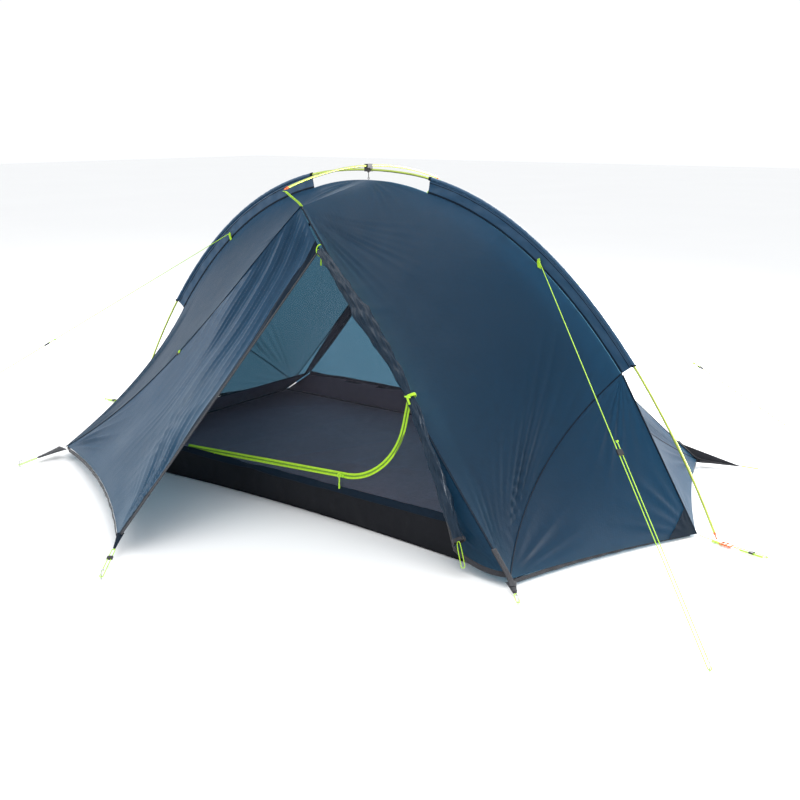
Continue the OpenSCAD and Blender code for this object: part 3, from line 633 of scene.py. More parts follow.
FLY = ripstop("fly_nylon", lighter(NAVY, 0.86), 0.44, 0.20, 0.27, TEAL_THROUGH, 0.42)
# The door is the fly's navy cloth lightened: painted light for the light it catches from the left.
DOOR_PAINTED_LIGHT = ripstop("door_nylon_painted_light", lighter(NAVY, 1.45), 0.38, 0.26, 0.28, TEAL_THROUGH, 0.20)
# The sleeves are the fly's navy cloth lightened: painted sheen for their pale grazing sheen.
SLEEVE_PAINTED_SHEEN = ripstop("sleeve_nylon_painted_sheen", lighter(NAVY, 1.7), 0.42, 0.35, 0.80)
TUB = ripstop("tub_nylon", (0.008, 0.0088, 0.012), 0.48, 0.12, 0.02)
GROUND = ripstop("groundsheet_nylon", (0.36, 0.235, 0.265), 0.42, 0.4, 0.20)
MESH = netting("inner_netting", (0.034, 0.033, 0.045), 0.42)
TAPE = webbing("grey_tape", DARK_TAPE)
BINDING = ripstop("navy_binding", (0.004, 0.012, 0.024), 0.55, 0.10, 0.02)
# The rolled half is the same navy cloth as the fly and door, darkened: painted shade.
ROLLED_PAINTED_SHADE = ripstop("rolled_nylon_painted_shade", lighter(NAVY, 0.50), 0.36, 0.26, 0.04)
BAND = webbing("grey_band", (0.034, 0.034, 0.050), 0.7)
LIME_TAPE = webbing("lime_tape", LIME)
LIME_CORD = braid("lime_cord_braid", LIME)
LIME_ZIP = plastic("lime_zip_coil", (0.44, 0.85, 0.03), 0.38)
DARK_LIME = plastic("deep_lime_coil", (0.14, 0.32, 0.02), 0.38)
GREY_ZIP = plastic("grey_zip_coil", (0.05, 0.05, 0.06), 0.4)
BLACK = plastic("black_nylon_plastic", (0.016, 0.016, 0.018), 0.45)
ORANGE = plastic("orange_plastic_moulding", (0.80, 0.14, 0.02), 0.35)
POLE = alloy("pole_anodised", (0.50, 0.62, 0.12), 0.30, 0.3)
FERRULE = alloy("ferrule_bare", (0.70, 0.71, 0.73), 0.28)
PEG = alloy("peg_steel", (0.62, 0.63, 0.64), 0.34)
RUBBER = braid("shock_cord_braid", (0.02, 0.02, 0.022), 0.8)

# ---- Guy lines ----


def loop_round(p, q, gap, side_dir, n=7):
    """Points of a half turn of the cord past q, from one strand to the other."""
    ahead = unit(q - p)
    middle = q + side_dir * gap / 2
    angle = np.linspace(-math.pi / 2, math.pi / 2, n)
    return [middle + gap / 2 * (math.cos(a) * ahead + math.sin(a) * side_dir) for a in angle]


def guy_line(name, start, peg, hold):
    """A guy from its sleeve loop round the peg and back to the tensioner, with a knot at each end."""
    side = unit(np.cross(UP, unit(peg - start)))
    peg = peg - side * STRAND_GAP / 2
    long = np.linalg.norm(peg - start)
    finish = mix(start, peg, hold - GUY_TAIL / long) + side * STRAND_GAP
    path = list(line(start, peg, 12)[:-1]) + loop_round(start, peg, STRAND_GAP, side)
    path += list(line(peg + side * STRAND_GAP, finish, 9)[1:])
    guy = cord_piece("guy_cord_" + name, path, CORD_R, LIME_CORD, "tent")
    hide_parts("guyline_" + name)
    ends = [start + unit(start - peg) * 0.001, finish]
    knots = [overhand_knot(p, unit(peg - start)) for p in ends]
    knot = mesh_piece(f"guy_knots_{name}", knots, LIME_CORD, "tent", closed=True)


def overhand_knot(centre, along, size=0.0022):
    """A small trefoil of cord pulled tight."""
    side = unit(np.cross(along, UP))
    top = np.cross(side, along)
    t = np.linspace(0, 2 * math.pi, 37)
    x = (np.sin(t) + 2 * np.sin(2 * t)) * size * 0.55
    y = (np.cos(t) - 2 * np.cos(2 * t)) * size * 0.55
    z = -np.sin(3 * t) * size * 0.7
    path = centre + x[:, None] * side + y[:, None] * top + z[:, None] * along
    return tube_grid(path, CORD_R, 8)


def make_guys():
    for name, (start, peg, hold) in GUYS.items():
        guy_line(name, start, peg, hold)


make_guys()

# ---- Fly panels ----


def main_panel_grid(side, rear, n=130, m=100):
    corner, peak = fly_corner(side, rear), fly_peak(rear)

    def top(u):
        return ridge(side * SLEEVE_END * u) * at(1, 0, 1)

    def bottom(u):
        return seam(peak, corner, front_seam_sag(side, rear), u, SEAM_SKEW)

    def left(v):
        return mix(at(0, 0, CLOTH_CROWN_Z), peak, v)

    def right(v):
        return seam(sleeve_foot(side), corner, crease_sag(side, rear), v)

    return patch(top, bottom, left, right, n, m, trim_v=(0.004, 0))


def main_panel_folds(grid, side, rear, seed):
    """Tension folds of a main panel: from its peak, its ground corner and its two side seams."""
    corner, peak, foot = fly_corner(side, rear), fly_peak(rear), sleeve_foot(side)
    middle = grid[grid.shape[0] // 2, grid.shape[1] // 2]
    height = pleats(grid, peak, mix(foot, middle, 0.65), 34, 12, 0.24, 0.0062, seed, 0.75)
    height += pleats(grid, corner, mix(foot, middle, 0.16), 17, 10, 0.38, 0.0120, seed + 1, 0.65, 1.9)
    height += pleats(grid, corner, mix(middle, peak, 0.5), 24, 9, 0.18, 0.0030, seed + 7, 0.7)
    height += pleats(grid, at(0, 0, CLOTH_CROWN_Z), middle, 50, 8, 0.16, 0.0028, seed + 2)
    height += creases(grid, mix(peak, corner, 0.1), mix(peak, corner, 0.62), 0.10, 0.0030, seed + 3, 11)
    height += creases(grid, mix(foot, corner, 0.2), mix(foot, corner, 0.95), 0.09, 0.0035, seed + 4, 9)
    height += creases(grid, grid[0, 40], grid[0, -10], 0.05, 0.0018, seed + 5, 22, 0.25)
    return (height + billow(grid, 0.42, 0.0035, seed + 6)) * edge_hold(grid, 0.05)


def make_main_panels():
    for side, hand in ((-1, "left"), (1, "right")):
        for rear, end in ((False, "front"), (True, "rear")):
            grid = main_panel_grid(side, rear)
            seed = 10 * (2 * (side > 0) + rear) + 3
            folded = raised(grid, main_panel_folds(grid, side, rear, seed))
            cloth_piece(f"fly_panel_{end}_{hand}", [folded], FLY, f"fly_{end}_{hand}")
            edge_bindings(grid, f"{end}_{hand}")


def edge_tape(grid, side, width, lift, thickness=0.0016):
    """A tape along one edge of a grid ("bottom", "top", "right", "left"), centred on that edge."""
    g = {"bottom": grid[::-1], "top": grid, "right": grid[:, ::-1].swapaxes(0, 1),
         "left": grid.swapaxes(0, 1)}[side]
    out = outward(g)
    return tape_grid(g[0] + lift * out[0], g[1] - g[0], width, thickness)


def edge_bindings(grid, name):
    """Felled seams along the front edge and the crease of a main panel."""
    tapes = [edge_tape(grid, "bottom", 0.008, 0.0008), edge_tape(grid, "right", 0.0045, 0.0008)]
    mesh_piece(f"seam_{name}", tapes, BINDING, "tent")


make_main_panels()


def end_panel_grid(side, rear, n=60, m=90):
    head = sleeve_foot(side)
    foot = END_FOOT * at(side, 1, 1)
    corner = fly_corner(side, rear)

    def top(u):
        return head + 0 * u[..., None]

    def bottom(u):
        return seam(foot, corner, end_hem_sag(side), u)

    def left(v):
        return mix(head, foot, v)

    def right(v):
        return seam(head, corner, crease_sag(side, rear), v)

    return patch(top, bottom, left, right, n, m, trim_v=(0.01, 0))


def foot_patch(grid):
    """A small doubled triangle of cloth where the end panel meets the pole's foot."""
    rows = grid[-15:, :10][::-1]
    keep = np.linspace(1, 0.06, rows.shape[0])[:, None, None]
    return raised(rows[:, :1] + (rows - rows[:, :1]) * keep, np.full(rows.shape[:2], 0.0022))


def make_end_panels():
    for side, hand in ((-1, "left"), (1, "right")):
        parts, tapes = [], []
        for rear in (False, True):
            grid = end_panel_grid(side, rear)
            head, foot, corner = sleeve_foot(side), END_FOOT * at(side, 1, 1), fly_corner(side, rear)
            seed = 60 + 4 * (side > 0) + rear
            height = pleats(grid, head, mix(foot, corner, 0.5), 40, 8, 0.20, 0.0040, seed, 0.8)
            height += pleats(grid, foot, mix(head, corner, 0.6), 50, 7, 0.18, 0.0040, seed + 20, 0.8)
            height += pleats(grid, corner, mix(head, foot, 0.6), 40, 7, 0.20, 0.0040, seed + 30, 0.8)
            height += billow(grid, 0.30, 0.0030, seed + 40)
            parts.append(raised(grid, height * edge_hold(grid, 0.07)))
            tapes.append(edge_tape(grid, "left", 0.006, 0.001))
            if not rear:
                tapes.append(foot_patch(parts[-1]))
        cloth_piece(f"fly_end_cloth_{hand}", parts, FLY, f"fly_end_{hand}")
        mesh_piece(f"end_seam_{hand}", tapes, BINDING, "tent")


make_end_panels()


def make_rear_wall():
    rear_peak = fly_peak(True)
    a, b = fly_corner(-1, True), fly_corner(1, True)

    def top(u):
        return rear_peak + 0 * u[..., None]

    def bottom(u):
        return seam(a, b, REAR_HEM_SAG, u)

    def left(v):
        return seam(rear_peak, a, SHORT_SAG, v, SEAM_SKEW)

    def right(v):
        return seam(rear_peak, b, SHORT_SAG, v, SEAM_SKEW)

    grid = patch(top, bottom, left, right, 150, 110, trim_v=(0.01, 0))
    height = pleats(grid, rear_peak, mix(a, b, 0.5), 55, 16, 0.24, 0.0050, 91, 0.8)
    height += pleats(grid, a, mix(rear_peak, b, 0.3), 30, 8, 0.26, 0.0050, 92, 0.8)
    height += pleats(grid, b, mix(rear_peak, a, 0.3), 30, 8, 0.26, 0.0050, 93, 0.8)
    height += creases(grid, mix(a, b, 0.15), mix(a, b, 0.85), 0.12, 0.0050, 94, 14)
    height += billow(grid, 0.40, 0.0045, 95)
    folded = raised(grid, height * edge_hold(grid, 0.05))
    cloth_piece("fly_rear_cloth", [folded], FLY, "fly_rear_wall")


make_rear_wall()

# ---- Pole sleeves: gathered cloth over the pole, with a flat fin down to the ridge seam ----

SLEEVE_BORE = POLE_R + 0.0012


def make_sleeves():
    for side, hand in ((-1, "left"), (1, "right")):
        w = side * np.linspace(SLEEVE_START, SLEEVE_END, 220)
        path, n = arch(w), arch_normal(w)
        y = at(0, 1, 0)
        along = run_of(path)
        turn = np.radians(np.concatenate([[180], np.linspace(214, 506, 17)]))
        rng = np.random.default_rng(31)
        pucker = sum(rng.uniform(0.3, 1) * np.sin(along * rng.uniform(60, 260) + rng.uniform(0, 6))
                     for _ in range(9)) / 4
        radius = SLEEVE_BORE + 0.0012 + 0.0006 * pucker
        loop = path[:, None] + radius[:, None, None] * (
            np.cos(turn)[None, 1:, None] * n[:, None] + np.sin(turn)[None, 1:, None] * y)
        drop = np.linspace(0.010, SLEEVE_HEIGHT, 12)
        sway = 0.0016 * np.sin(along[:, None] * 38 + drop * 40) + 0.0010 * np.sin(along[:, None] * 97)
        sway *= np.sin(np.pi * (drop - 0.010) / (SLEEVE_HEIGHT - 0.010) * 0.9)[None]
        fins = []
        for layer in (-1, 1):
            gap = 0.0016 * (1 - (drop - 0.010) / (SLEEVE_HEIGHT - 0.010)) + 0.0005
            fins.append(path[:, None] - drop[None, :, None] * n[:, None]
                        + (layer * gap[None, :, None] + sway[..., None]) * y)
        whole = np.concatenate([fins[0][:, ::-1], loop[:, ::-1], fins[1]], 1)
        cloth_piece(f"sleeve_cloth_{hand}", [whole], SLEEVE_PAINTED_SHEEN, f"sleeve_{hand}")
        trims = []
        for low, wide in ((0.014, 0.0024), (SLEEVE_HEIGHT - 0.002, 0.007)):
            for layer in (-1, 1):
                centre = path - low * n + layer * 0.0022 * y
                trims.append(tape_grid(centre, n, wide, 0.0012))
        for k in (0, -1):
            ring = path[k] + (SLEEVE_BORE + 0.0016) * (np.cos(turn[1:])[:, None] * n[k]
                                                       + np.sin(turn[1:])[:, None] * y)
            trims.append(tape_grid(ring, path[1] - path[0], 0.010, 0.0010))
        mesh_piece(f"sleeve_seams_{hand}", trims, BINDING, "tent")


make_sleeves()

# ---- Vestibule door ----

DOOR_EDGE = unit(DOOR_APEX - DOOR_TOP)
door_reach = mix(PEAK, CORNER_LEFT, 0.6) - mix(DOOR_TOP, DOOR_APEX, 0.5)
DOOR_IN = unit(door_reach - (door_reach @ DOOR_EDGE) * DOOR_EDGE)
DOOR_UNDER = unit(np.cross(DOOR_EDGE, DOOR_IN))


def door_seam(u):
    return seam(PEAK, CORNER_LEFT, front_seam_sag(-1, False), u, SEAM_SKEW)


def make_door():
    def bottom(u):
        return mix(DOOR_TOP, DOOR_APEX, u) + DOOR_SET_BACK * DOOR_IN

    def left(v):
        return mix(PEAK, DOOR_TOP + DOOR_SET_BACK * DOOR_IN, v)

    def right(v):
        return seam(CORNER_LEFT, DOOR_APEX + DOOR_SET_BACK * DOOR_IN, DOOR_HEM_SAG, v)

    grid = patch(door_seam, bottom, left, right, 190, 150, trim_u=(0.002, 0.004))
    centre = grid[75, 95]
    beyond = PEAK + 0.35 * (PEAK - mix(CORNER_LEFT, DOOR_APEX, 0.75))
    height = pleats(grid, beyond, mix(CORNER_LEFT, DOOR_APEX, 0.72), 15, 15, 0.62, 0.0100, 5, 0.62, 1.9)
    height += pleats(grid, CORNER_LEFT, mix(centre, DOOR_APEX, 0.2), 40, 9, 0.22, 0.0085, 6, 0.7, 1.6)
    height += pleats(grid, DOOR_APEX, mix(centre, PEAK, 0.35), 24, 10, 0.26, 0.0105, 7, 0.65, 1.9)
    height += creases(grid, mix(PEAK, CORNER_LEFT, 0.1), mix(PEAK, CORNER_LEFT, 0.5), 0.07, 0.0040, 8, 8, 0.2)
    height += creases(grid, grid[-1, 10], grid[-1, 90], 0.035, 0.0030, 9, 10, 0.2)
    height += billow(grid, 0.34, 0.0060, 12)
    folded = raised(grid, height * edge_hold(grid, 0.05))
    door = cloth_piece("vestibule_door_cloth", [folded], DOOR_PAINTED_LIGHT, "vestibule_door",
                       body=None)
    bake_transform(door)
    wide = np.linspace(0.034, 0.016, folded.shape[1])
    facing = [edge_strip(folded, wide, side * 0.0013) for side in (1, -1)]
    mesh_piece("door_edge_facing", facing, BINDING, "door_flap")


def edge_strip(grid, wide, lift, rows=9):
    """A strip of doubled cloth that follows the bottom rows of a grid, just above or below them."""
    back = grid[::-1]
    strip = np.zeros((rows, grid.shape[1], 3))
    for j in range(grid.shape[1]):
        for k in range(3):
            strip[:, j, k] = np.interp(np.linspace(0, wide[j], rows), run_of(back[:, j]), back[:, j, k])
    strip = strip[::-1]
    return raised(strip, np.full(strip.shape[:2], lift))


make_door()


def coil_rings(path, radius, pitch=0.0022):
    """A zip's closed coil: rings that swell and narrow tooth by tooth."""
    fine = resample(path, pitch / 4)
    phase = np.arange(len(fine)) % 4
    swell = np.array([1.0, 0.86, 0.62, 0.86])[phase]
    return capped(tube_grid(fine, (radius * swell)[:, None], 8))


def make_door_zip():
    a, b = DOOR_TOP + 0.006 * DOOR_EDGE, DOOR_APEX - 0.020 * DOOR_EDGE
    path = line(a, b, 60)
    mesh_piece("door_zip_coil", [coil_rings(path, 0.0017)], GREY_ZIP, "door_flap",
               node="door_zip")
    tape = tape_grid(path + 0.0065 * DOOR_IN, DOOR_IN, 0.011, 0.0012)
    mesh_piece("door_zip_tape", [tape], TAPE, "door_flap")


make_door_zip()


def make_door_hem():
    t = np.linspace(0.03, 0.955, 90)
    drop = seam(CORNER_LEFT, DOOR_APEX + DOOR_SET_BACK * DOOR_IN, DOOR_HEM_SAG, t)
    drop = drop + (0.0016 * np.sin(t * 60) + 0.0010 * np.sin(t * 131))[:, None] * DOOR_UNDER
    hem = tape_grid(drop - at(0, 0, 0.006), UP, 0.018, 0.0020)
    mesh_piece("door_hem_tape", [hem], TAPE, "door_flap", node="door_hem")


make_door_hem()

# ---- The rolled half of the vestibule ----

ROLL_SIDES = 110


def roll_line(t):
    """From the zip's top along the seam to the tie, then down towards the ground."""
    t = np.asarray(t, float)
    k = np.minimum(t / TIE_SHARE, 1)
    upper = mix(ROLL_HEAD, TIE_POINT, k) + np.sin(np.pi * k)[..., None] * ROLL_BULGE
    lower = mix(TIE_POINT, ROLL_FOOT, np.maximum((t - TIE_SHARE) / 0.45, 0))
    return np.where((t < TIE_SHARE)[..., None], upper, lower)


def make_rolled_door():
    """The right half of the vestibule: a loose roll of cloth, its layers showing as long ridges."""
    path = rounded(roll_line(np.linspace(0, 1, 13)), 3)
    path = resample(path, 0.0042)
    t = np.linspace(0, 1, len(path))
    rng = np.random.default_rng(31)
    sag = np.stack([np.sin(t * w + rng.uniform(0, 6)) for w in (19, 31, 47)], -1) * (0.0022, 0.0016, 0.0010)
    path = path + sag * np.sin(np.pi * t)[:, None]
    a, k = (np.arange(ROLL_SIDES) * 2 * np.pi / ROLL_SIDES)[None, :], t[:, None]
    size = np.where(t < TIE_SHARE, 0.010 + 0.013 * np.sin(np.pi * t / 0.6),
                    0.013 + 0.007 * (t - TIE_SHARE) / 0.45)
    size = size * (1 + 0.13 * np.sin(t * 23 + 1) + 0.09 * np.sin(t * 51))
    tied = np.exp(-(((t - TIE_SHARE) / 0.030) ** 2))[:, None]
    turn = a + 1.4 * k + 0.35 * np.sin(9 * k)
    wrap = 0.16 * (1 - np.abs(np.sin(2.0 * turn))) + 0.12 * (1 - np.abs(np.sin(4.5 * turn + 7 * k + 1)))
    dents = 0.12 * np.sin(3 * a + 60 * k) * np.sin(34 * k + 2) + 0.08 * np.sin(7 * a - 85 * k)
    shape = 0.84 + wrap + dents * (1 - 0.6 * tied)
    radius = size[:, None] * shape * (1 - 0.22 * tied)
    radius[:, 80:84] *= 0.90
    roll = tube_grid(path, radius, ROLL_SIDES, at(0, -1, 0))
    mesh_piece("vestibule_roll", [capped(roll)], ROLLED_PAINTED_SHADE, "tent", closed=True,
               node="vestibule_rolled_door")
    ahead = path[-1] - path[-5]
    across = unit(np.cross(ahead, at(0, 1, 0)))
    angle = np.linspace(0, 2 * np.pi, 50)
    other = unit(np.cross(across, ahead))
    rim = path[-1] + 0.0195 * (np.cos(angle)[:, None] * across + np.sin(angle)[:, None] * other)
    cuff = tape_grid(rim, unit(ahead), 0.012, 0.0016)
    mesh_piece("roll_hem", [cuff], TAPE, "tent")
    hang_lower_panel()
    hang_roll_loop(path[-1])


def hang_roll_loop(start):
    """The unused peg loop of the rolled half: a double cord that hangs from its hem."""
    drop, gap = 0.066, 0.0055
    side = at(0.8, 0.6, 0)
    top, low = start + at(0.006, -0.012, 0.004), start + at(0.030, -0.022, -drop)
    angle = np.linspace(0, np.pi, 9)
    turn = [low + gap * (np.cos(x) * side - np.sin(x) * UP * 1.2) for x in angle]
    path = rounded([top, top + gap * side - 0.008 * UP, *turn, top - gap * side - 0.008 * UP,
                    top - at(0, 0, 0.001)], 2)
    cord = cord_piece("roll_peg_loop", path, CORD_R, LIME_CORD, "tent")


def hang_lower_panel():
    """The part of the rolled half that stays sewn to the fly between the tie and the ground corner."""
    head, low = TIE_POINT + at(-0.016, 0.008, -0.024), at(0.848, -0.662, 0.056)

    def fly_seam(t):
        return seam(PEAK, CORNER_RIGHT, SHORT_SAG, t, SEAM_SKEW)

    def top(u):
        return mix(head, fly_seam(np.array(0.58)), u)

    def bottom(u):
        return seam(low, CORNER_RIGHT + at(-0.012, 0, -0.004), at(0.004, -0.012, -0.012), u)

    def left(v):
        return mix(head, low, v) + (0.010 * np.sin(np.pi * v))[..., None] * at(1, 0.2, 0)

    def right(v):
        return fly_seam(0.58 + 0.41 * v)

    grid = patch(top, bottom, left, right, 40, 70, (0, 0.02), (0.01, 0))
    height = pleats(grid, TIE_POINT, mix(low, CORNER_RIGHT, 0.5), 26, 7, 0.20, 0.008, 41, 0.7, 2.0)
    height += pleats(grid, CORNER_RIGHT, TIE_POINT, 30, 6, 0.14, 0.004, 42, 0.8)
    folded = raised(grid, height * edge_hold(grid, 0.10, (0, 1, 1, 0)))
    cloth_piece("vestibule_lower_cloth", [folded], FLY, "vestibule_rolled_door")
    hem = edge_tape(folded, "bottom", 0.016, 0.001, 0.0022)
    side = edge_tape(folded, "left", 0.010, 0.001)
    mesh_piece("vestibule_lower_hem", [hem, side], TAPE, "tent")


make_rolled_door()


def make_tieback():
    """The lime loop and toggle that hold the roll against the fly."""
    ring_axis = unit(roll_line(np.array(0.60)) - roll_line(np.array(0.50)))
    side, top = path_frames(np.array([TIE_POINT, TIE_POINT + ring_axis]), at(0, -1, 0))
    angle = np.linspace(0, 2 * np.pi, 60)
    bulge = 1 + 0.10 * np.sin(3 * angle + 1)
    ring = TIE_POINT + 0.0150 * bulge[:, None] * (np.cos(angle)[:, None] * side[0]
                                                  + np.sin(angle)[:, None] * top[0])
    band = tape_grid(ring, ring_axis, 0.010, 0.0014)
    knot_at = TIE_POINT + at(0, -0.0195, 0.002)
    toggle = capped(tube_grid(line(knot_at - at(0.011, 0, 0), knot_at + at(0.011, 0, 0), 9),
                              0.0026 * np.array([0.8, 1, 1, 0.85, 0.7, 0.85, 1, 1, 0.8])[:, None], 12))
    tail = rounded([knot_at, knot_at + at(0.004, -0.003, -0.008), knot_at + at(0.010, -0.002, -0.022)])
    band_tail = tape_grid(tail, at(1, 0, 0.3), 0.009, 0.0012)
    mesh_piece("tieback_strap", [band, band_tail], LIME_TAPE, "tent", node="tieback")
    mesh_piece("tieback_toggle", [toggle], LIME_ZIP, "tent", closed=True)


make_tieback()

# ---- Inner tent ----


def floor_edge(side, t):
    start = -FLOOR_FRONT_LEFT if side < 0 else -FLOOR_LENGTH / 2
    t = np.asarray(t, float)
    x = start + (FLOOR_LENGTH / 2 - start) * t
    y = side * (FLOOR_WIDTH / 2 - (0.060 if side < 0 else 0.012) * np.sin(np.pi * t))
    return np.stack([x, y, 0 * x], -1)


def tub_top(side, t):
    t = np.asarray(t, float)
    x = -INNER_LEFT + (INNER_RIGHT + INNER_LEFT) * t
    return np.stack([x, side * WALL_FOOT_Y + 0 * x, TUB_TOP - 0.003 + 0 * x], -1)


def on_front(x, y, out=0.0):
    """A point on the inner tent's front mesh: x along the tent, y up its slope."""
    x, y = np.broadcast_arrays(np.asarray(x, float), np.asarray(y, float))
    return np.stack([x, -WALL_FOOT_Y + y * math.cos(WALL_TILT) - out * math.sin(WALL_TILT),
                     TUB_TOP + y * math.sin(WALL_TILT) + out * math.cos(WALL_TILT)], -1)


def make_inner_floor():
    t = np.linspace(0.002, 0.998, 150)
    grid = np.stack([mix(floor_edge(-1, t), floor_edge(1, t), k) for k in np.linspace(0.002, 0.998, 90)])
    height = creases(grid, at(-1, -0.1, 0), at(1, 0.05, 0), 0.5, 0.0060, 71, 11, 0.9)
    height += creases(grid, at(-0.9, 0.4, 0), at(0.9, 0.35, 0), 0.3, 0.0050, 72, 11, 0.9)
    height += creases(grid, at(0, -0.6, 0), at(0.1, 0.6, 0), 0.5, 0.0060, 74, 6, 0.5)
    height += billow(grid, 0.22, 0.0012, 73)
    height = np.abs(height) * edge_hold(grid, 0.03)
    grid = grid + (0.0012 + height)[..., None] * UP
    cloth_piece("groundsheet_cloth", [grid], GROUND, "inner_floor")


def make_tub_walls():
    walls = []
    for k, (low, high) in enumerate(tub_sides()):
        grid = ruled(low, high, 150, 14)
        height = creases(grid, grid[7, 2], grid[7, -3], 0.06, 0.0045, 80 + k, 16, 0.4)
        height += billow(grid, 0.25, 0.0030, 85 + k)
        walls.append(raised(grid, height * edge_hold(grid, 0.03)))
    for name, part, cloth in (("front", walls[:1], TUB), ("back", walls[1:], GROUND)):
        cloth_piece(f"tub_wall_{name}", part, cloth, "tub_walls")
    seams = []
    for side in (-1, 1):
        for end in (0, 1):
            edge = line(floor_edge(side, end) + 0.003 * UP, tub_top(side, end), 12)
            slant = unit(at(0.5 * (1 - 2 * end), -side, 0))
            seams.append(tape_grid(edge + 0.002 * slant, slant, 0.026, 0.0014))
    mesh_piece("tub_corner_seams", seams, TUB, "tent")
    tapes = [edge_tape(w[::-1], "top", 0.026, 0.0008) for w in walls]
    mesh_piece("tub_top_seam", tapes, BINDING, "tent")
    feet = []
    for w in walls:
        runs_along_x = abs(w[0, 0, 1] - w[0, -1, 1]) < 0.2
        inward = unit(-w[0].mean(0) * (at(0, 1, 0) if runs_along_x else at(1, 0, 0)))
        feet.append(tape_grid(w[0] + 0.007 * inward + 0.0012 * UP, inward, 0.020, 0.0014))
    mesh_piece("tub_foot_seam", feet, TUB, "tent")


def tub_sides():
    lift = 0.0018 * UP
    for side in (-1, 1):
        yield (lambda t, s=side: floor_edge(s, 0.004 + 0.992 * t) + lift,
               lambda t, s=side: tub_top(s, 0.004 + 0.992 * t))
    for end in (0, 1):
        yield (lambda t, e=end: mix(floor_edge(-1, e), floor_edge(1, e), 0.002 + 0.996 * t) + lift,
               lambda t, e=end: mix(tub_top(-1, e), tub_top(1, e), 0.002 + 0.996 * t))


make_inner_floor()
make_tub_walls()

# The zipped door in the front mesh: out along the sill, round the corner and up to the head
DOOR_START = (-0.387, 0.012)
DOOR_TURN, DOOR_TURN_R = (0.359, 0.246), 0.195
DOOR_SHOULDER, DOOR_HEAD = (0.526, 0.364), (0.090, 0.800)


def door_outline(step=0.012, out=0.0, grow=0.0):
    """Points up the slope along the zip, from the left end of the sill to the head."""
    turn = np.radians(np.linspace(-90, 0, 25))
    r = DOOR_TURN_R + grow
    arc = np.stack([DOOR_TURN[0] + r * np.cos(turn), DOOR_TURN[1] + r * np.sin(turn)], -1)
    up = np.array([DOOR_TURN[0] + r, DOOR_SHOULDER[1] - 0.02])
    lean = np.array([0.7, 0.7]) * grow
    ends = [np.array(DOOR_START) - (0, grow)] + list(arc) + [up, np.array(DOOR_SHOULDER) + lean * 1.2,
                                                            np.array(DOOR_HEAD) + lean]
    flat = resample(np.concatenate([np.array(ends), np.zeros((len(ends), 1))], 1), step)
    return on_front(flat[:, 0], flat[:, 1], out)


def slope_top():
    return INNER_TOP / math.sin(WALL_TILT)


def mesh_wall_grid(mirror, n=110, m=90):
    """The trapezium of netting from the tub to the ridge, mirrored front to back where mirror is -1."""
    v = np.linspace(0.0, 0.995, m)[:, None]
    u = np.linspace(0, 1, n)[None, :]
    x = (-INNER_LEFT + (INNER_RIGHT + INNER_LEFT) * u) * (1 - v) + (-0.006 + 0.012 * u) * v
    return on_front(x, slope_top() * v) * at(1, mirror, 1)


def make_mesh_walls():
    rear = mesh_wall_grid(-1)
    height = creases(rear, rear[8, 5], rear[8, -6], 0.12, 0.004, 101, 12) + billow(rear, 0.35, 0.004, 102)
    rear = raised(rear, height * edge_hold(rear, 0.05))
    cloth_piece("inner_rear_netting", [rear], MESH, "inner_rear_mesh")
    make_front_mesh()
    make_mesh_door()


def door_strip(a, b, n, m):
    """Netting between two lines of points, n columns by m rows."""
    return np.stack([mix(resample_to(a, n), resample_to(b, n), np.array(k)) for k in np.linspace(0, 1, m)])


def make_front_mesh():
    """Netting round the door: a wing on each side of it and a low strip under its sill."""
    top_l, top_r = on_front(-0.006, slope_top()), on_front(0.006, slope_top())
    foot_l, foot_r = on_front(-INNER_LEFT, 0.0), on_front(INNER_RIGHT, 0.0)
    start, head = on_front(*DOOR_START), on_front(*DOOR_HEAD)
    zip_line = door_outline(0.01)
    left = door_strip(np.array([foot_l, top_l]), np.array([start, head]), 90, 50)
    split = int(len(zip_line) * 0.40)
    under = door_strip(mix(foot_l, foot_r, np.linspace(0.24, 1, 60)), zip_line[: split + 1], 80, 10)
    right = door_strip(np.array([foot_r, top_r]), zip_line[split:], 90, 40)
    shaped = []
    for k, grid in enumerate([left, under, right]):
        height = billow(grid, 0.35, 0.003, 110 + k)
        height = height + pleats(grid, grid[-1, 0], grid[0, -1], 40, 8, 0.2, 0.002, 113 + k)
        shaped.append(raised(grid, height * edge_hold(grid, 0.06)))
    cloth_piece("inner_front_netting", shaped, MESH, "inner_front_mesh")
    tapes = [tape_grid(line(foot, top, 60), at(1, 0, 0), 0.012, 0.0012, 0.001)
             for foot, top in ((foot_l, top_l), (foot_r, top_r))]
    mesh_piece("inner_front_seams", tapes, BINDING, "tent")


def make_mesh_door():
    """The zipped netting door, slack enough to show a few long folds."""
    start, head = on_front(*DOOR_START), on_front(*DOOR_HEAD)
    zip_line = door_outline(0.01, 0.0, -0.003)
    hinge = line(start, head, 60)
    grid = door_strip(hinge, zip_line, 110, 90)
    height = pleats(grid, head, on_front(0.2, 0.1), 30, 9, 0.30, 0.006, 121, 0.7, 2.2)
    height += pleats(grid, on_front(0.5, 0.15), on_front(0.1, 0.45), 40, 8, 0.20, 0.007, 122, 0.7, 2.0)
    height += billow(grid, 0.3, 0.003, 123)
    folded = raised(grid, height * edge_hold(grid, 0.08))
    cloth_piece("inner_door_netting", [folded], MESH, "inner_door",
                body="mesh_door")


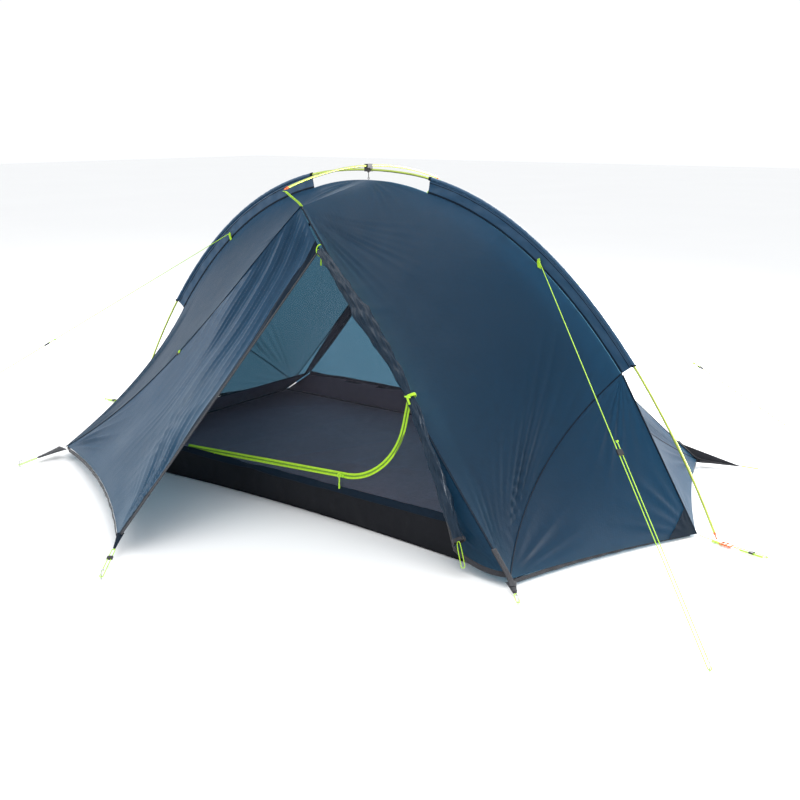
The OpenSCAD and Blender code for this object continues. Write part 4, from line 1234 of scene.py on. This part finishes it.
def roof_grid(side, n=110, m=60):
    reach = INNER_RIGHT if side > 0 else INNER_LEFT
    u = np.linspace(0, 1, n)
    front_top = at(0.006, -WALL_FOOT_Y + INNER_TOP * WALL_LEAN + 0.004, TUB_TOP + INNER_TOP + 0.002)
    front_end = at(reach, -WALL_FOOT_Y + 0.006, TUB_TOP + 0.002)
    middle_end = at(reach, 0, TUB_TOP + 0.002)
    spine = np.where((u < 0.75)[:, None], inner_ridge(0.005 + 0.495 * np.minimum(u / 0.75, 1)),
                     mix(inner_ridge(0.5), middle_end, np.maximum((u - 0.75) / 0.25, 0)))
    edge = mix(front_top, front_end, u)
    rows = []
    for v in np.linspace(-1, 1, m):
        rows.append(mix(spine, edge if v < 0 else across_y(edge), np.array(abs(v))))
    return np.stack(rows) * at(side, 1, 1)


def make_roofs():
    for side, hand in ((-1, "left"), (1, "right")):
        grid = roof_grid(side)
        height = creases(grid, grid[30, 5], grid[30, -5], 0.25, 0.003, 131 + side, 10) - 0.002
        grid = raised(grid, height * edge_hold(grid, 0.06))
        cloth_piece(f"inner_roof_netting_{hand}", [grid], MESH, f"inner_roof_{hand}")
        seams = [edge_tape(grid, "top", 0.022, 0.0006), edge_tape(grid, "bottom", 0.046, 0.0006)]
        mesh_piece(f"inner_roof_seams_{hand}", seams, BAND, "tent")


make_mesh_walls()
make_roofs()


def make_inner_zip():
    centre = door_outline(0.008, 0.0030, 0.0035)
    mesh_piece("inner_zip_coil", [coil_rings(centre, 0.0018, 0.0024)], DARK_LIME, "tent",
               closed=True, node="inner_zip")
    tangent = unit(np.gradient(centre, axis=0))
    out = np.broadcast_to(on_front(0, 0, 1.0) - on_front(0, 0, 0), centre.shape)
    across = np.cross(out, tangent)
    tapes = [tape_grid(centre + s * 0.0056 * across - 0.0010 * out, across, 0.0076, 0.0009)
             for s in (-1, 1)]
    mesh_piece("inner_zip_tapes", tapes, LIME_TAPE, "tent")


make_inner_zip()

# ---- Zip pulls ----

PULL_R = 0.0020


def pull_piece(name, pivot, ring_r, long, body, node):
    """A loop of cord through the slider's eye, tied off in a hanging tail."""
    angle = np.linspace(0, 2 * np.pi, 40)
    face = at(0.56, 0.42, 0)
    ring = pivot + ring_r * (np.cos(angle)[:, None] * face + np.sin(angle)[:, None] * UP)
    knot = pivot - UP * (ring_r + 0.003)
    tail = rounded([knot, knot - UP * long * 0.35 + at(0.001, 0, 0),
                    knot - UP * long * 0.7 - at(0.0015, 0, 0), knot - UP * long])
    second = tail + at(0.0034, -0.001, 0.004) * np.linspace(0.3, 1, len(tail))[:, None]
    parts = [tube_grid(ring, PULL_R, 10), overhand_knot(knot, UP, 0.0030)]
    parts += [capped(tube_grid(resample(strand, 0.001), PULL_R, 10)) for strand in (tail, second)]
    parts.append(capped(tube_grid(line(tail[-1] + UP * 0.005, tail[-1] - UP * 0.003, 9),
                                  0.0030 * np.array([0.7, 1, 1, 1, 1, 1, 1, 0.9, 0.6])[:, None], 12)))
    mesh_piece(name, parts, LIME_CORD, body, closed=True, node=node)


def make_pulls():
    slider = DOOR_TOP + 0.016 * DOOR_EDGE + 0.011 * DOOR_UNDER
    pull_piece("vestibule_pull_cord", slider + 0.010 * UP, 0.0205, 0.024, "door_pull", "vestibule_pull")
    pull_piece("inner_pull_cord", on_front(0.352, 0.0445, 0.022), 0.0060, 0.034, "mesh_pull", "inner_pull")


make_pulls()

# ---- Hems, corner webbing, loops and the straps at the pole's ends ----

HEM_GAP, HEM_WIDTH = 0.005, 0.012


def hem_grid(a, b, sag, seed):
    t = np.linspace(0, 1, 110)
    mid = seam(a, b, sag, t) - (HEM_GAP + HEM_WIDTH / 2 - 0.001) * UP
    rng = np.random.default_rng(seed)
    side = unit(np.cross(b - a, UP))
    wave = sum(rng.uniform(0.3, 1) * np.sin(t * rng.uniform(20, 90) + rng.uniform(0, 6)) for _ in range(5))
    mid = mid + (0.0011 * wave * np.sin(np.pi * t))[:, None] * side
    return tape_grid(mid, UP, HEM_WIDTH + 0.002, 0.0020)


def make_hems():
    parts = []
    for side in (-1, 1):
        for rear in (False, True):
            y = 1 if rear else -1
            start = at(side * (END_FOOT[0] - 0.016), y * 0.014, HEM_GAP + HEM_WIDTH + 0.002)
            stop = mix(start, fly_corner(side, rear), 0.985)
            parts.append(hem_grid(start, stop, end_hem_sag(side), 141 + side + 2 * rear))
    a, b = fly_corner(-1, True), fly_corner(1, True)
    parts.append(hem_grid(mix(a, b, 0.01), mix(a, b, 0.99), REAR_HEM_SAG, 147))
    mesh_piece("fly_hem_tape", parts, TAPE, "tent", node="fly_hem")


def tapering_web(root, tip, wide, narrow, n=16):
    """A flat triangle of folded webbing that runs down to its cord loop."""
    t = np.linspace(0, 1, n)
    ahead = unit(tip - root)
    side = unit(np.cross(ahead, UP))
    top = np.cross(side, ahead)
    mid = mix(root, tip, t)
    half = (wide + (narrow - wide) * t ** 0.8) / 2
    outline = [(-1, 0), (-0.9, 0.5), (-0.3, 0.65), (0.3, 0.65), (0.9, 0.5), (1, 0), (0.9, -0.5), (-0.9, -0.5)]
    rings = [mid + x * half[:, None] * side + y * 0.0026 * top for x, y in outline]
    return capped(np.stack(rings, 1))


def gusset(a, b, c):
    """A doubled triangle of cloth from a seam's foot (a to b) out to a point c."""
    t = np.linspace(0, 0.97, 24)
    grid = np.stack([mix(mix(a, c, t), mix(b, c, t), np.array(k)) for k in np.linspace(0, 1, 9)])
    wave = 0.0012 * np.sin(np.linspace(0, 9, 24))[None, :] * np.sin(np.linspace(0, np.pi, 9))[:, None]
    return [raised(grid, wave + 0.0009), raised(grid, wave - 0.0009)]


def make_corner_webbing():
    parts, spread, share = [], (0.062, 0.034, 0.058, 0.058), (0.62, 0.62, 0.72, 0.72)
    for k, (corner, peg) in enumerate(zip(CORNERS, CORNER_PEGS)):
        flat = unit((peg - corner) * at(1, 1, 0))
        tip = mix(corner, peg, share[k])
        parts.append(tapering_web(corner + 0.014 * flat - 0.002 * UP, tip, spread[k], 0.012))
        stitches = tip - 0.010 * unit(tip - corner)
        side = unit(np.cross(flat, UP))
        parts.append(tape_grid(line(stitches - 0.008 * side, stitches + 0.008 * side, 9) + 0.0016 * UP,
                               flat, 0.005, 0.0016))
        loop_cord(f"corner_loop_{k}", tip + 0.007 * unit(peg - tip), peg, "tent", "corner_loops")
    mesh_piece("corner_webbing_tape", parts, TAPE, "tent", closed=True,
               node="corner_webbing")
    straps = []
    for k in (1, 2, 3):
        corner, peg = CORNERS[k], CORNER_PEGS[k]
        up = unit(fly_peak(corner[1] > 0) - corner)
        flat = unit((peg - corner) * at(1, 1, 0))
        lift = 0.004 * unit(flat + UP)
        strap = rounded([corner + 0.10 * up + lift, corner + 0.05 * up + lift, corner + lift,
                         mix(corner, peg, share[k] * 0.6) + 0.002 * UP], 2)
        straps.append(tape_grid(resample(strap, 0.004), unit(np.cross(up, UP)), 0.020, 0.0016))
        if corner[1] > 0:
            straps += gusset(corner + 0.090 * up, corner - 0.012 * UP, mix(corner, peg, share[k]))
    mesh_piece("corner_straps", straps, TAPE, "tent")


def loop_cord(name, start, peg, body, node):
    """A taut loop of cord from its webbing round a peg and back."""
    side = unit(np.cross(UP, peg - start))
    shift = side * STRAND_GAP / 2
    root = start - unit(peg - start) * 0.004
    a, b = start - shift, peg - shift
    path = list(line(root, a * 0.4 + start * 0.6, 2)) + list(line(a, b, 8))
    path += loop_round(a, b, STRAND_GAP, side)[1:]
    path += list(line(b + 2 * shift, a + 2 * shift, 8)[1:])
    path += list(line(start * 0.6 + (start + shift) * 0.4, root + side * 0.002, 2))
    cord = cord_piece(name, path, CORD_R, LIME_CORD, body)
    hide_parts(node)


def strap_point(side, t):
    return at(side * (END_FOOT[0] + (POLE_PEG[0] - END_FOOT[0]) * t), POLE_PEG[1] * t, 0.007)


def make_pole_end_straps():
    tapes, cords = [], []
    for side, hand in ((-1, "left"), (1, "right")):
        a, b = strap_point(side, 0.235) - 0.0035 * UP, strap_point(side, 0.40) - 0.0030 * UP
        across = unit(np.cross(b - a, UP))
        tapes.append(tape_grid(line(a, b, 20), across, 0.014, 0.0018))
        c, d = strap_point(side, 0.63) - 0.0035 * UP, strap_point(side, 0.95) - 0.0030 * UP
        tapes.append(tape_grid(line(c, d, 30), across, 0.009, 0.0014))
        cord = rounded([strap_point(side, 0.03) + 0.001 * UP, strap_point(side, 0.10) - 0.0015 * UP,
                        strap_point(side, 0.18) - 0.001 * UP, strap_point(side, 0.25)])
        cords.append(capped(tube_grid(resample(cord, 0.002), CORD_R, 10)))
        peg = POLE_PEG * at(side, 1, 1)
        loop_cord(f"pole_end_loop_{hand}", strap_point(side, 0.57), peg, "tent", "pole_end_straps")
    mesh_piece("pole_end_webbing", tapes, LIME_TAPE, "tent", node="pole_end_straps")
    mesh_piece("pole_end_cords", cords, LIME_CORD, "tent", closed=True)


def make_door_tip():
    """The vestibule's pegged point: folded webbing and its long cord loop."""
    root = DOOR_APEX + 0.030 * unit(mix(CORNER_LEFT, PEAK, 0.5) - DOOR_APEX) + 0.003 * DOOR_UNDER
    web = tapering_web(root, DOOR_TIP, 0.024, 0.008)
    mesh_piece("door_tip_web", [web], BINDING, "door_flap", closed=True,
               node="door_tip_webbing")
    start = DOOR_TIP + 0.007 * unit(APEX_PEG - DOOR_TIP)
    loop_cord("door_tip_loop", start, APEX_PEG, "door_flap", "door_tip_cord")


def make_brow_tabs():
    parts = []
    for side in (-1, 1):
        foot, head = at(0, side * 0.384, 1.024), at(0, side * 0.449, 1.0655)
        path = rounded([foot - at(0, side * 0.012, 0.012), foot, mix(foot, head, 0.5) - 0.002 * UP, head,
                        head + at(0, side * 0.010, 0.001)], 3)
        parts.append(tape_grid(resample(path, 0.002), at(1, 0, 0), 0.014, 0.0018))
    mesh_piece("brow_tabs", parts, LIME_TAPE, "tent", node="brow_webbing")


def make_seam_toggle():
    """The toggle on the left front seam that holds the rolled door open."""
    spot = door_seam(np.array(0.51)) + at(-0.003, -0.009, -0.014)
    loop = rounded([spot + at(0, 0.004, 0.012), spot + at(-0.003, -0.002, 0.006), spot,
                    spot + at(0.003, -0.001, 0.006), spot + at(0.001, 0.004, 0.012)], 2)
    bead = line(spot - at(0.011, 0, 0.004), spot + at(0.011, 0, 0.000), 11)
    swell = 0.0056 * np.array([0.75, 0.95, 1, 0.9, 0.72, 0.68, 0.72, 0.9, 1, 0.95, 0.75])
    mesh_piece("seam_toggle", [capped(tube_grid(bead, swell[:, None], 16))], BLACK, "tent",
               closed=True)
    mesh_piece("seam_toggle_loop", [capped(tube_grid(resample(loop, 0.001), 0.0016, 10))], LIME_CORD,
               "tent", closed=True)


def make_guy_tabs():
    """Short webbing loops on the sleeves that the guys are tied to."""
    parts = []
    for start, peg, _ in GUYS.values():
        root = start * at(1, 0, 1) - at(0, 0, 0.030)
        path = rounded([root + at(0, np.sign(start[1]) * 0.004, 0), start - at(0, 0, 0.010),
                        start + unit(peg - start) * 0.003], 2)
        parts.append(tape_grid(resample(path, 0.002), at(1, 0, 0.4), 0.012, 0.0014))
    mesh_piece("guy_tabs", parts, LIME_TAPE, "tent")


make_hems()
make_corner_webbing()
make_pole_end_straps()
make_door_tip()
make_brow_tabs()
make_guy_tabs()
make_seam_toggle()

# ---- Finishes of the carried-over CAD nodes ----

CAD_FINISH = {
    "main_pole_sections": POLE, "brow_pole_sections": POLE,
    "pole_ferrules": FERRULE, "brow_ferrules": FERRULE, "hub_rivet": FERRULE,
    "pole_shock_cord": RUBBER, "brow_shock_cord": RUBBER,
    "pole_tips": ORANGE, "brow_tips": ORANGE, "pole_end_buckles": ORANGE,
    "crown_hub_base": BLACK, "crown_hub_saddle": BLACK, "crown_hook": BLACK, "inner_clips": BLACK,
    "door_tip_adjuster": BLACK, "pole_end_adjuster_left": BLACK, "pole_end_adjuster_right": BLACK,
    "tensioner_front_left": BLACK, "tensioner_front_right": BLACK,
    "tensioner_rear_left": BLACK, "tensioner_rear_right": BLACK,
    "vestibule_slider": LIME_ZIP, "inner_slider": LIME_ZIP,
    "pegs": PEG,
}
SOFT_EDGES = ("crown_hub_base", "crown_hub_saddle", "pole_end_buckles", "door_tip_adjuster",
              "pole_end_adjuster_left", "pole_end_adjuster_right", "tensioner_front_left",
              "tensioner_front_right", "tensioner_rear_left", "tensioner_rear_right",
              "vestibule_slider", "inner_slider")


def finish_cad_nodes():
    for name, material in CAD_FINISH.items():
        node = nodes[name]
        node.data.materials.clear()
        node.data.materials.append(material)
        for polygon in node.data.polygons:
            polygon.material_index = 0
    for name in SOFT_EDGES:
        weld = nodes[name].modifiers.new("weld", "WELD")
        weld.merge_threshold = 0.00001
        bevel = nodes[name].modifiers.new("bevel", "BEVEL")
        bevel.width = 0.0005
        bevel.segments = 2
        bevel.limit_method = "ANGLE"


finish_cad_nodes()

# ---- Floor and light ----


def make_stage():
    bpy.ops.mesh.primitive_plane_add(size=60, location=(0, 0, -0.0005))
    floor = bpy.context.object
    floor.name = "studio_floor"
    f = Finish("studio_floor_paint", (0.92, 0.92, 0.92), 0.9, specular=0.05)
    f.tint(f.ramp(f.noise(f.coords("Object"), 0.6), 0.4, 0.7), (0.94, 0.94, 0.94), 0.5)
    floor.data.materials.append(f.material)


def area_light(name, place, aim, size, power, colour=(1, 1, 1)):
    data = bpy.data.lights.new(name, "AREA")
    data.shape = "RECTANGLE"
    data.size, data.size_y = size
    data.energy = power
    data.color = colour
    lamp = bpy.data.objects.new(name, data)
    lamp.location = place
    lamp.rotation_euler = (Vector(aim) - Vector(place)).to_track_quat("-Z", "Y").to_euler()
    bpy.context.scene.collection.objects.link(lamp)


def make_lights():
    world = bpy.data.worlds.new("studio")
    world.use_nodes = True
    world.node_tree.nodes["Background"].inputs["Color"].default_value = (0.97, 0.985, 1.0, 1)
    world.node_tree.nodes["Background"].inputs["Strength"].default_value = 1.04
    bpy.context.scene.world = world
    area_light("overhead", (0.3, -0.2, 4.5), (0, 0, 0), (3.0, 3.0), 90)
    area_light("left_key", (-4.2, -2.0, 2.2), (-0.3, -0.6, 0.4), (1.4, 1.4), 46)
    area_light("rear_fill", (0.2, 4.5, 2.4), (0, 0, 0.5), (3.5, 2.0), 300)
    area_light("right_rim", (3.4, 3.2, 1.3), (1.1, 0.3, 0.4), (1.8, 1.8), 240)
    bpy.context.scene.view_settings.view_transform = "Standard"


make_stage()
make_lights()
